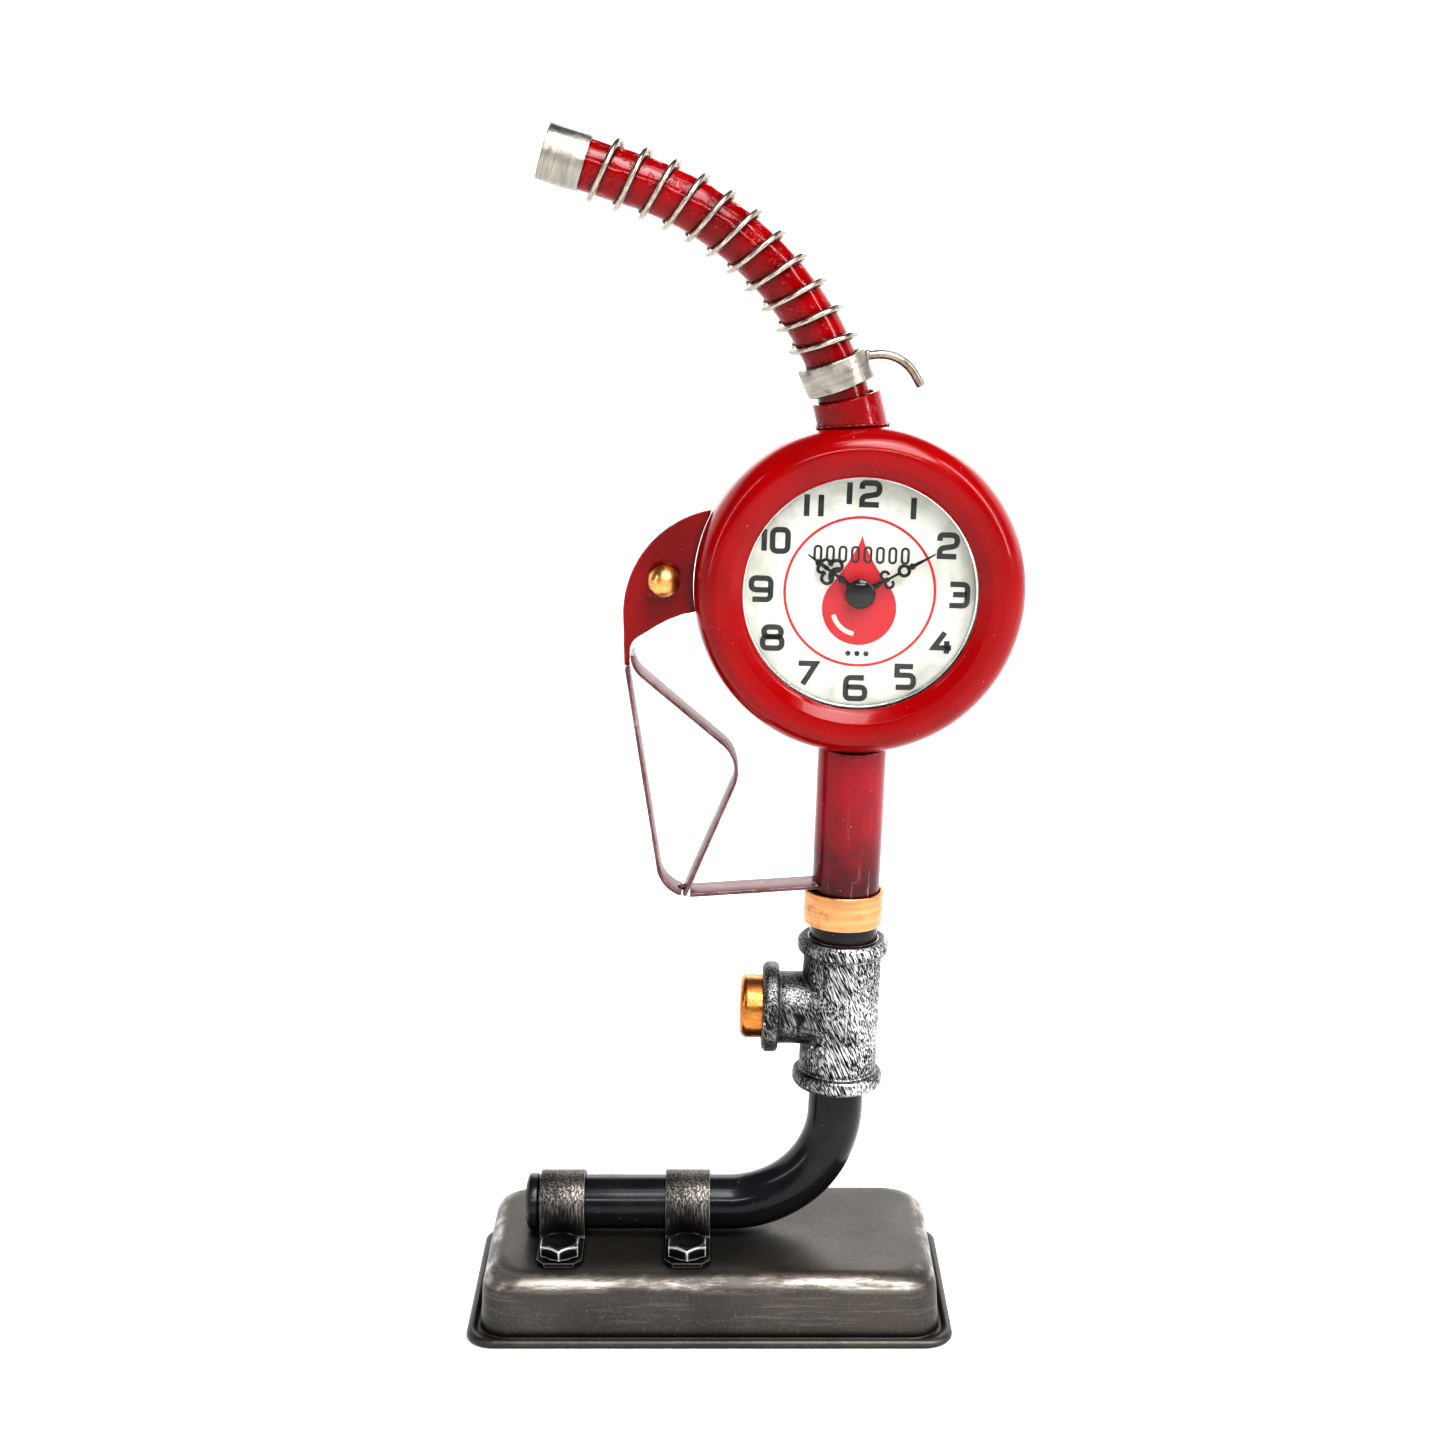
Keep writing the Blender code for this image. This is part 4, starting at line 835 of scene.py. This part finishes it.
def tee():
    """Cast tee: run, branch and a casting boss melted together, then bored."""
    reach = BRANCH_REACH
    lower = [(r, TEE_LOW + h) for r, h in BEAD[::-1]]
    upper = [(r, TEE_HIGH - h) for r, h in BEAD]
    run = [(0, TEE_LOW), *lower, (14.5, TEE_LOW + 8.0), (14.5, TEE_HIGH - 8.0), *upper, (0, TEE_HIGH)]
    side = [(0, 0), (13.6, 0), (13.4, reach - 6.1)] + [(r, reach - h) for r, h in BEAD[1:]] + [(0, reach)]
    branch = swung(turned(soften(side, 0.5, 3), 96))
    saddle = swung(turned([(0, -2), (17.2, -2), (15.0, 4), (13.4, 12.8), (0, 12.8)], 96))
    boss = turned([(0, -2.6), (1.5, -2.2), (2.6, 0), (1.5, 2.2), (0, 2.6)], 24)
    bmesh.ops.translate(boss, verts=boss.verts, vec=Vector((-7.6, -13.0, 27.5)) * MM)
    whole = joined([turned(soften(run, 0.5, 4), 96), branch, saddle, boss])
    bores = [drill(PIPE_RADIUS + GAP, 0, 41), drill(COLUMN_RADIUS + GAP, 40, 75), swung(drill(12.1, 5, 40))]
    stand_in("pipe_tee", dented(melted(whole, bores), 0.16, 5), tee_metal, LEANING)
    face = 8.3
    plug = turned(soften([(0, -9), (11.8, -9), (11.8, face, 2.8), (0, face)], 0.6, 8), 96)
    stand_in("tee_plug", dented(plug, 0.15, 7), copper_plug,
             LEANING @ moved(-reach, 0, BRANCH_HEIGHT) @ spun(-90))


def cut_tube(matrix, outer, inner, low, high, sides=96):
    """A tube one end of which is coped to the drum; that end is given as None."""
    rings = []
    steps = 14
    for radius in (outer, inner):
        ends = []
        for level, side in ((low, 1), (high, -1)):
            ring = []
            for c, n in circle(sides):
                z = drum_at(matrix, radius * c, side) if level is None else level
                ring.append(Vector((radius * c, radius * n, z)))
            ends.append(ring)
        wall = [[a.lerp(b, k / steps) for a, b in zip(*ends)] for k in range(steps + 1)]
        rings += wall if radius == outer else wall[::-1]
    return loft(rings, closed=True)


def weld(name, matrix, radius, side, size, finish):
    """A run of weld round the foot of a tube coped to the drum."""
    count = 120
    reach = radius + size * 0.35
    foot = circle(count)
    points = [(reach * c, reach * n, drum_at(matrix, reach * c, side) + side * 0.1) for c, n in foot]
    sizes = []
    for i in range(count):
        angle = TURN * i / count
        sizes.append(0.8 + 0.25 * sin(angle * 24) + 0.3 * noise.noise(Vector((angle * 3, side, 0))))
    up = [(c, n, 0) for c, n in foot]
    bm = swept(points, size, size, 10, up, closed=True, taper=lambda t: sizes[round(t * (count - 1))])
    piece(name, bm, finish, matrix=matrix)


def blob(name, at, size, matrix, finish, seed=0.0, squash=(1, 1, 1)):
    """An uneven lump of weld or paint."""
    bm = bmesh.new()
    bmesh.ops.create_icosphere(bm, subdivisions=4, radius=size * MM)
    bmesh.ops.scale(bm, vec=squash, verts=bm.verts)
    bm = dented(bm, size * 0.5, size * 0.9, seed)
    bmesh.ops.translate(bm, vec=Vector(at) * MM, verts=bm.verts)
    return piece(name, bm, finish, matrix=matrix)


def column():
    bm = dented(cut_tube(LEANING, COLUMN_RADIUS, COLUMN_RADIUS - 1.5, COLUMN_FOOT, None), 0.1, 14)
    stand_in("column_tube", bm, column_red, LEANING)
    weld("column_weld", LEANING, COLUMN_RADIUS, -1, 0.7, column_red)
    profile = box(COLUMN_RADIUS + 0.85, COLUMN_RADIUS + 2.0, BAND_LOW, BAND_LOW + 13.0)
    bm = dented(turned(soften(profile, 0.45, 4, closed=True), 120, bored=True), 0.25, 16, 3.0)
    stand_in("column_band", bm, copper_band, LEANING @ shifted(-0.6, 0))


# Head


def head_shell():
    unturned = Matrix.Translation(HEAD.translation)
    drum = soften([(DRUM_RADIUS, -4.0), (DRUM_RADIUS, 19.0, 0.8), (DRUM_RADIUS - 1.2, 19.0, 0.3),
                   (DRUM_RADIUS - 1.2, -4.0)], 0.2, 4, closed=True)
    stand_in("clock_drum", turned(drum, 192, "Y", True), drum_red, unturned)
    roll = DRUM_RADIUS - CREST_RADIUS
    profile = [(DRUM_RADIUS, -4.3)]
    profile += [(CREST_RADIUS + roll * c, -8.0 - CREST_DEPTH * n) for c, n in arc(0, 0, 1, 0, 90, 12)]
    profile += soften([(CREST_RADIUS, -19.7), (46.0, -18.9), (42.7, -17.0), (LIP_RADIUS, -15.9, 0.5),
                       (LIP_RADIUS, -14.7, 0.3), (44.0, -15.7), (50.0, -18.0), (54.6, -14.8),
                       (55.9, -8.0), (55.9, 2.0), (57.3, 2.0), (57.3, -4.3)], 1.2, 4)[1:]
    stand_in("bezel_ring", turned(profile, 192, "Y", True), red, unturned)
    spacer = soften(box(SPACER_BORE, SPACER_RADIUS, -12.6, -9.8), 0.3, 3, closed=True)
    stand_in("lens_spacer", turned(spacer, 160, "Y", True), lip_silver, HEAD)
    front = [(SPACER_BORE * k / 14, -14.2 - 3.2 * (1 - (k / 14) ** 2)) for k in range(15)]
    back = [(r, y + 1.3) for r, y in front][::-1]
    rim = [(SPACER_RADIUS, -14.2), (SPACER_RADIUS, -12.9)]
    stand_in("lens", turned(front + rim + back, 128, "Y"), clear, HEAD)


# Strokes of each number in a box of width 1 and height 1, each with whether it is closed.
# A third number is the corner's own radius.
DIGITS = {
    "0": [([(0, 0), (1, 0), (1, 1), (0, 1)], True)],
    "1": [([(0.5, 0), (0.5, 1)], False)],
    "2": [([(0.02, 0.72, 0), (0.02, 1), (1, 1), (1, 0.5), (0.04, 0.36), (0.04, 0, 0), (1, 0)], False)],
    "3": [([(0, 1), (1, 1), (1, 0.52, 0), (1, 0), (0, 0)], False), ([(0.18, 0.52), (1, 0.52)], False)],
    "4": [([(0.6, 1), (0, 0.27, 0), (1, 0.27)], False), ([(0.74, 0.6), (0.74, 0)], False)],
    "5": [([(0.95, 1), (0.04, 1, 0), (0.04, 0.58, 0), (1, 0.58), (1, 0), (0, 0)], False)],
    "6": [([(0.92, 1), (0, 1), (0, 0), (1, 0), (1, 0.55), (0.03, 0.55)], False)],
    "7": [([(0, 1), (1, 1, 0), (0.28, 0)], False)],
    "8": [([(0.06, 0.54), (0.06, 1), (0.94, 1), (0.94, 0.54)], True),
          ([(0, 0), (1, 0), (1, 0.54), (0, 0.54)], True)],
    "9": [([(0.08, 0), (1, 0), (1, 1), (0, 1), (0, 0.45), (0.97, 0.45)], False)],
}


def ribbon(points, width, front, depth=0.05, closed=False):
    """A flat printed stroke through 2-D points, mitred at its corners."""
    points = [Vector(p) for p in points]
    count = len(points)
    rings = []
    for i, p in enumerate(points):
        after = points[(i + 1) % count] if closed or i < count - 1 else p
        before = points[i - 1] if closed or i > 0 else p
        a = (p - before).normalized() if (p - before).length > 1e-9 else (after - p).normalized()
        b = (after - p).normalized() if (after - p).length > 1e-9 else a
        along = (a + b).normalized()
        normal = Vector((-along.y, along.x))
        half = width / 2 / max(0.35, normal.dot(Vector((-a.y, a.x))))
        u, v = p + normal * half, p - normal * half
        deep = front + depth
        rings.append([(u.x, front, u.y), (v.x, front, v.y), (v.x, deep, v.y), (u.x, deep, u.y)])
    return loft(rings, closed=closed)


def numbers():
    """Twelve upright numbers in a square technical face."""
    tall = NUMBER_HEIGHT - NUMBER_STROKE
    widths = {"0": 5.4, "1": 0.0, "6": 6.9, "8": 6.9, "9": 6.9}
    gaps = {"10": 2.9, "11": 5.0, "12": 4.2}
    strokes = []
    for hour in range(1, 13):
        angle = radians(30 * hour)
        text = str(hour)
        advances = [widths.get(c, 6.2) for c in text]
        gap = gaps.get(text, 0.0)
        x = NUMBER_RADIUS * sin(angle) - (sum(advances) + gap) / 2
        z = NUMBER_RADIUS * cos(angle) - tall / 2
        for c, advance in zip(text, advances):
            for points, closed in DIGITS[c]:
                line = [(x + p[0] * advance, z + p[1] * tall, *p[2:]) for p in points]
                line = soften(line, 1.7, 6, closed=closed) if len(line) > 2 else line
                strokes.append(ribbon(line, NUMBER_STROKE, PRINT_FRONT, closed=closed))
            x += advance + gap
    print_on("dial_numbers", joined(strokes), ink_black, 30)


def print_on(name, bm, ink, sharp=38):
    piece(name, bm, ink, matrix=HEAD, sharp=sharp)


def flat_shape(outline, front, depth=0.05):
    return loft([[(x, front, z) for x, z in outline], [(x, front + depth, z) for x, z in outline]])


def emblem():
    """A plain fuel drop in a ring, with a counter of eight noughts across it and three dots below."""
    ring = [(26.6 * n, 26.6 * c) for c, n in circle(160)]
    print_on("dial_ring", ribbon(ring, 0.95, PRINT_FRONT, closed=True), ink_red)
    low = -6.0
    tip = 20.5
    drop = arc(0, low, 13.2, -212, 244, 48)
    start = drop[-1]
    side = [(start[0] * (1 - k / 16) ** 1.35, start[1] + (tip - start[1]) * k / 16) for k in range(1, 16)]
    drop += side + [(0, tip)] + [(-x, z) for x, z in side[::-1]]
    print_on("dial_drop", flat_shape(drop, PRINT_FRONT), ink_red)
    print_on("dial_glint", ribbon(arc(0, low, 9.3, 196, 64, 16), 1.5, PRINT_FRONT - 0.05), ink_cream)
    marks = []
    for k in range(8):
        x = -15.4 + 4.4 * k
        nought = soften(box(x - 1.15, x + 1.15, 10.7, 16.0), 1.1, 5, closed=True)
        marks.append(ribbon(nought, 0.85, PRINT_FRONT - 0.07, closed=True))
    for x in (-3.2, 0.0, 3.2):
        dot = [(x + 0.95 * c, -22.3 + 0.95 * n) for c, n in circle(24)]
        marks.append(flat_shape(dot, PRINT_FRONT))
    print_on("dial_counter", joined(marks), ink_black, 30)


def dial():
    profile = soften(box(4.3, 46.0, DIAL_FRONT, DIAL_FRONT + 0.6), 0.1, 2, closed=True)
    stand_in("dial_plate", turned(profile, 160, "Y", True), card, HEAD)
    numbers()
    emblem()


def curl(x, z, radius, start, sweep):
    """Points round part of a circle in the plane of a hand, angles in degrees."""
    return [(px, 0, pz) for px, pz in arc(x, z, radius, start, sweep, 18)]


def clock_hand(node, length, bore, middle, angle, shapes, barbs):
    """A pierced scroll hand; shapes are (points, half width) lines drawn upwards from the hub."""
    thick = HAND_SHEET
    hub = [(bore, middle - thick), (4.2, middle - thick), (4.5, middle), (4.2, middle + thick),
           (bore, middle + thick)]
    parts = [turned(hub, 64, "Y", True)]
    for points, half in shapes:
        for side in (1, -1):
            parts.append(swept([(x * side, middle, z) for x, _, z in points], half, thick, 8))
            if all(abs(p[0]) < 0.05 for p in points):
                break
    for z, half in barbs:
        spine = [(0, middle, z + half * k) for k in (-1.25, -0.6, 0, 0.6, 1.25)]
        parts.append(swept(spine, half, thick, 8, taper=lambda t: 0.15 + sin(pi * t)))
    needle = [(0, middle, length * (0.62 + 0.38 * k / 8)) for k in range(9)]
    parts.append(swept(needle, 0.85, thick, 8, taper=lambda t: 1 - 0.75 * t))
    stand_in(node, joined(parts), hand_black, HEAD @ spun(angle), f"{node}_set")


def hands():
    hour = [([(0, 0, 3.8), (0, 0, 9.6)], 0.85), (curl(2.75, 12.6, 1.95, -200, 330), 0.6),
            (curl(1.3, 16.2, 1.3, -90, 200), 0.55), ([(0, 0, 9.0), (0, 0, 15.6)], 0.5),
            (curl(0, 9.9, 2.9, 20, 50), 0.55)]
    clock_hand("hour_hand", 23.2, 2.9, -11.8, HOUR_ANGLE, hour, [(8.2, 1.25), (18.2, 1.3)])
    minute = [([(0, 0, 3.8), (0, 0, 8.4)], 0.85), (curl(1.7, 10.6, 1.4, -210, 320), 0.52),
              (curl(0, 17.4, 1.8, -90, 180), 0.6), ([(0, 0, 8.0), (0, 0, 15.4)], 0.45)]
    clock_hand("minute_hand", 29.8, 1.8, -13.0, MINUTE_ANGLE, minute, [(6.4, 1.15), (20.6, 1.1)])
    dome = [(5.35 * n, -13.55 - 1.72 * c) for c, n in arc(0, 0, 1, 8, 80, 10)]
    cap = [(0, -15.3)] + dome + [(5.35, -13.5), (1.8, -13.5), (1.8, -14.3), (0, -14.3)]
    stand_in("hand_cap", turned(cap, 72, "Y"), cap_gloss, HEAD, "minute_hand_set")


def back():
    recut("back_cover", lid_red, 0.35)
    head = [(0, 17.4), (2.9, 17.4), (2.9, 17.8), (2.3, 18.5), (1.0, 18.8), (1.0, 18.2), (0, 18.1)]
    for i, around in enumerate((90, 210, 330)):
        x, z = arc(0, 0, 51.5, around, 0, 1)[0]
        screw = turned(head, 32, "Y")
        bmesh.ops.translate(screw, vec=Vector((x, 0, z)) * MM, verts=screw.verts)
        piece(f"lid_screw_{i + 1}", screw, bolt_metal, matrix=HEAD)
    knob = []
    for radius, y in soften(box(1.3, 6.0, 6.7, 11.7), 0.7, 3, closed=True):
        ring = []
        for k, (c, n) in enumerate(circle(120)):
            grip = 0.25 * (0.5 - 0.5 * cos(TURN * k / 5)) if radius > 5.2 else 0.0
            ring.append(((radius - grip) * c, y, (radius - grip) * n))
        knob.append(ring)
    place = HEAD @ shifted(8.485, 8.485)
    stand_in("setting_knob", loft(knob, closed=True), black_plastic, place, "setting_set")
    for node in ("movement_case", "movement_cover"):
        recut(node, black_plastic, 0.35)
    recut("battery", cell_copper, 0.3)


# Spout


def spout_at(station):
    """Place and heading at a distance along the spout."""
    bend_length = radians(SPOUT_BEND) * SPOUT_BEND_RADIUS
    moves = [(min(station, SPOUT_RUN), 1)]
    bent = min(max(station - SPOUT_RUN, 0), bend_length)
    if bent > 0:
        moves.append((SPOUT_BEND_RADIUS, degrees(bent / SPOUT_BEND_RADIUS), 8))
    if station > SPOUT_RUN + bend_length:
        moves.append((station - SPOUT_RUN - bend_length, 1))
    return route(SPOUT_START, 90 + SPOUT_LEAN, moves)[-1]


def spout_frame(station):
    x, z, heading = spout_at(station)
    return ARM @ shifted(x, z, 90 - heading)


def spout():
    stations = [spout_at(5 + (SPOUT_LENGTH - 8) * k / 90) for k in range(91)]
    bm = dented(dented(tube(stations, SPOUT_RADIUS, SPOUT_RADIUS - 1.2, 72), 0.22, 9, 5.0), 0.12, 3.5, 2.0)
    stand_in("spout_tube", bm, spout_red, ARM)
    neck = ARM @ shifted(-8.1, 66.4, -15.2)
    radius = 12.2
    bm = cut_tube(neck, radius, SPOUT_RADIUS + 0.8, None, 0.0)
    bevelled(stand_in("neck_ring", bm, spout_red, neck), 0.4, 3, 50)
    weld("neck_weld", neck, radius, 1, 0.6, spout_red)
    profile = soften(box(SPOUT_RADIUS + 0.5, COLLAR_RADIUS, -5.2, 5.2), 0.6, 4, closed=True)
    bm = dented(dented(turned(profile, 120, bored=True), 0.4, 9, 1.0), 0.15, 2.5, 4.0)
    stand_in("spout_collar", bm, silver_leaf, spout_frame(COLLAR_STATION))
    bore = SPOUT_RADIUS + GAP
    profile = [(bore, -15), (10.0, -15, 0.15), (10.0, 0, 0.35), (bore, 0, 0.35)]
    profile = soften(profile, 0.2, 4, closed=True)
    levels = []
    for (r0, z0), (r1, z1) in zip(profile, profile[1:] + profile[:1]):
        runs = max(1, round(abs(z1 - z0)))
        levels += [(r0 + (r1 - r0) * k / runs, z0 + (z1 - z0) * k / runs) for k in range(runs)]
    bm = dented(turned(levels, 120, bored=True), 0.11, 6, 7.0)
    stand_in("spout_tip", bm, silver_leaf, spout_frame(SPOUT_LENGTH))
    spring()
    hook()


def spring():
    per_turn = 40
    count = int(10.55 * per_turn)
    points = []
    outward = []
    for i in range(count + 1):
        turns = i / per_turn - 0.1
        x, z, heading = spout_at(28.0 + 9.85 * turns)
        side = Vector((sin(radians(heading)), 0, -cos(radians(heading))))
        out = side * cos(TURN * turns) + Vector((0, -sin(TURN * turns), 0))
        outward.append(out)
        points.append(Vector((x, 0, z)) + out * 11.25)
    bm = swept(points, 1.05, 1.05, 12, outward)
    stand_in("spout_spring", bm, nickel, ARM)


def hook():
    x, z, heading = spout_at(COLLAR_STATION)
    out = COLLAR_RADIUS + GAP
    up = radians(heading)
    start = (x + sin(up) * out + 1.9 * cos(up), z - cos(up) * out + 1.9 * sin(up))
    stations = route(start, 8, [(2.8, 3), (14.0, -66, 24), (4.2, 4), (0.4, 2)])
    sizes = [1.6] * (len(stations) - 2) + [1.6 * 0.95, 1.6 * 0.72]
    rings = [[across(s, size * c, size * n) for c, n in circle(24)] for s, size in zip(stations, sizes)]
    stand_in("hook_rod", loft(rings), hook_steel, ARM)
    at = (start[0] - 0.2, 0, start[1])
    blob("hook_weld", at, 2.3, ARM, silver_leaf, 2.0, (0.5, 1.0, 1.0))


# Trigger side


def horn():
    cx, cz = HEAD_PLACE
    reach = DRUM_RADIUS + GAP
    end_z = -12.05
    end_x = cx - sqrt(reach ** 2 - (end_z - cz) ** 2)
    outline = [p for p in arc(*HORN_CENTRE, HORN_RADIUS, 90, 90, 120) if hypot(p[0] - cx, p[1] - cz) > reach]
    lower = [outline[-1], (-83.6, -32.4, 0.6), (-81.7, -32.4, 0.4), (-81.7, -26.0), (-80.4, -22.9),
             (-76.4, -20.3), (-72.1, -17.4), (-67.6, -14.9), (-63.0, -13.0), (end_x, end_z)]
    outline += soften(lower, 6, 4)[1:]
    first = degrees(atan2(outline[0][1] - cz, outline[0][0] - cx))
    last = degrees(atan2(end_z - cz, end_x - cx)) % 360
    outline += arc(cx, cz, reach, last, first - last, 24)[1:-1]
    bm = loft([[(x, y, z) for x, z in outline] for y in (-1.25, 1.25)])
    bevelled(stand_in("horn_bracket", bm, horn_red, ARM), 0.4, 3, 50)
    place = ARM @ shifted(*BALL_PLACE)
    middle = -1.55 - BALL_RADIUS * 0.82
    profile = [(0, middle - BALL_RADIUS)] + arc(0, middle, BALL_RADIUS, -84, 132, 22)
    profile += [(3.4, -1.55), (2.5, -1.5), (2.5, 1.5), (4.2, 1.55), (4.1, 2.0), (3.0, 2.8), (1.5, 3.1),
                (0, 3.15)]
    stand_in("ball_rivet", dented(turned(profile, 96, "Y"), 0.12, 4), ball_gold, place)
    at = (-3.5, middle - 1.2, -4.3)
    blob("ball_paint", at, 1.7, place, horn_red, 3.0, (1, 0.8, 1))


def strips():
    guard = route((-82.5, -32.8), -79.8, [(75.6, 24), (12.0, 64.0, 20)])
    rail = route((-57.4, -116.95), -1.3, [(12.0, 6.9, 8), (45.6, 16)])
    trigger = route((-80.65, -27.6), -88, [(10.0, 49.0, 14), (38.4, 12), (14.0, -72.3, 24), (45.2, 14)])
    for node, stations, seed in (("guard_strap", guard, 1.0), ("guard_rail", rail, 2.0),
                                 ("trigger_strap", trigger, 3.0)):
        bm = dented(strip(stations, STRIP_SHEET, STRIP_WIDTH), 0.12, 20, seed)
        stand_in(node, bm, strip_paint, ARM)
    for name, station, y, size, seed in (("rail_weld_front", rail[-1], -5.6, 1.7, 1.0),
                                         ("rail_weld_rear", rail[-1], 5.6, 1.6, 4.0),
                                         ("foot_weld", guard[-1], 0.0, 1.5, 2.0)):
        blob(name, across(station, 0.9, y), size, ARM, strip_paint, seed, (1.1, 1.3, 0.6))


# Every CAD node that still shows gets a worked finish


def carried_over():
    finishes = {
        "dial_clamp_ring": white_plastic, "minute_wheel": white_plastic, "rubber_washer": rubber,
        "circuit_board": board_green, "drive_coil": coil_copper, "battery_contact_minus": nickel,
        "battery_contact_plus": nickel, "bush_nut": ink_red}
    for node in ("shaft_bush", "hour_wheel", "hour_pipe", "cannon_pinion", "setting_arbor"):
        finishes[node] = movement_brass
    for node, finish in finishes.items():
        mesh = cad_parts[node].data
        mesh.materials.clear()
        mesh.materials.append(finish)


# Stage


def stage():
    bpy.ops.mesh.primitive_plane_add(size=FLOOR_SIZE, location=(0, 1.0, 0))
    floor = bpy.context.object
    floor.name = "studio_floor"
    white = (0.93, 0.93, 0.93)
    f = Finish("floor_white", white, 0.7)
    f.set("Base Color", f.mix(f.ramp(f.cloud(900, 2), 0.3, 0.7), white, (0.95, 0.95, 0.95)))
    floor.data.materials.append(f.material)
    world = bpy.data.worlds.new("studio")
    world.use_nodes = True
    tree = world.node_tree
    place = tree.nodes.new("ShaderNodeTexCoord")
    split = tree.nodes.new("ShaderNodeSeparateXYZ")
    tree.links.new(place.outputs["Generated"], split.inputs[0])

    def step(axis, start, end, low, high):
        node = tree.nodes.new("ShaderNodeMapRange")
        node.interpolation_type = "SMOOTHSTEP"
        for name, value in (("From Min", start), ("From Max", end), ("To Min", low), ("To Max", high)):
            node.inputs[name].default_value = value
        tree.links.new(split.outputs[axis], node.inputs["Value"])
        return node.outputs["Result"]

    def join(operation, a, b):
        node = tree.nodes.new("ShaderNodeMath")
        node.operation = operation
        tree.links.new(a, node.inputs[0])
        tree.links.new(b, node.inputs[1])
        return node.outputs["Value"]

    backdrop = join("MULTIPLY", step("Y", 0.1, 0.4, 0.0, 1.7), step("Z", 0.4, 0.6, 1.0, 0.0))
    horizon = step("Z", 0.06, 0.12, 1.0, 0.13)
    tree.links.new(join("MAXIMUM", backdrop, horizon), tree.nodes["Background"].inputs["Strength"])
    tree.nodes["Background"].inputs["Color"].default_value = (1.0, 1.0, 1.0, 1.0)
    bpy.context.scene.world = world
    bpy.context.scene.view_settings.view_transform = "Standard"
    bpy.context.scene.view_settings.look = "High Contrast"
    sun = lit("studio_sun", "SUN", 3.2)
    sun.data.angle = radians(35)
    sun.rotation_euler = (radians(38), 0, radians(24))
    for name, place, size, power in (
            ("top", (0.25, -0.35, 1.3), (0.7, 0.4), 5.0), ("left", (-1.1, -0.6, 0.75), (0.12, 1.1), 3.5),
            ("right", (1.1, -0.5, 0.85), (0.2, 1.1), 9.0), ("front", (0.15, -1.7, 1.05), (1.0, 0.12), 7.0),
            ("rear", (0.3, 1.4, 1.0), (1.2, 0.6), 5.0)):
        lamp = lit(f"softbox_{name}", "AREA", power)
        lamp.data.shape = "RECTANGLE"
        lamp.data.size, lamp.data.size_y = size
        lamp.location = place
        lamp.rotation_euler = (Vector((0, 0, 0.22)) - Vector(place)).to_track_quat("-Z", "Y").to_euler()


def lit(name, kind, power):
    light = bpy.data.lights.new(name, kind)
    light.energy = power
    lamp = bpy.data.objects.new(name, light)
    bpy.context.scene.collection.objects.link(lamp)
    return lamp


def camera():
    lens = bpy.data.cameras.new("camera")
    lens.lens = CAMERA_LENS
    lens.sensor_width = 36.0
    view = bpy.data.objects.new("camera", lens)
    view.location = Vector(CAMERA_PLACE) * MM
    view.rotation_euler = (radians(90 - CAMERA_TILT), 0, 0)
    bpy.context.scene.collection.objects.link(view)
    bpy.context.scene.camera = view


for step in (base, stand_pipe, fasteners, tee, column, head_shell, dial, hands, back, spout, horn, strips,
             carried_over, stage, camera):
    step()
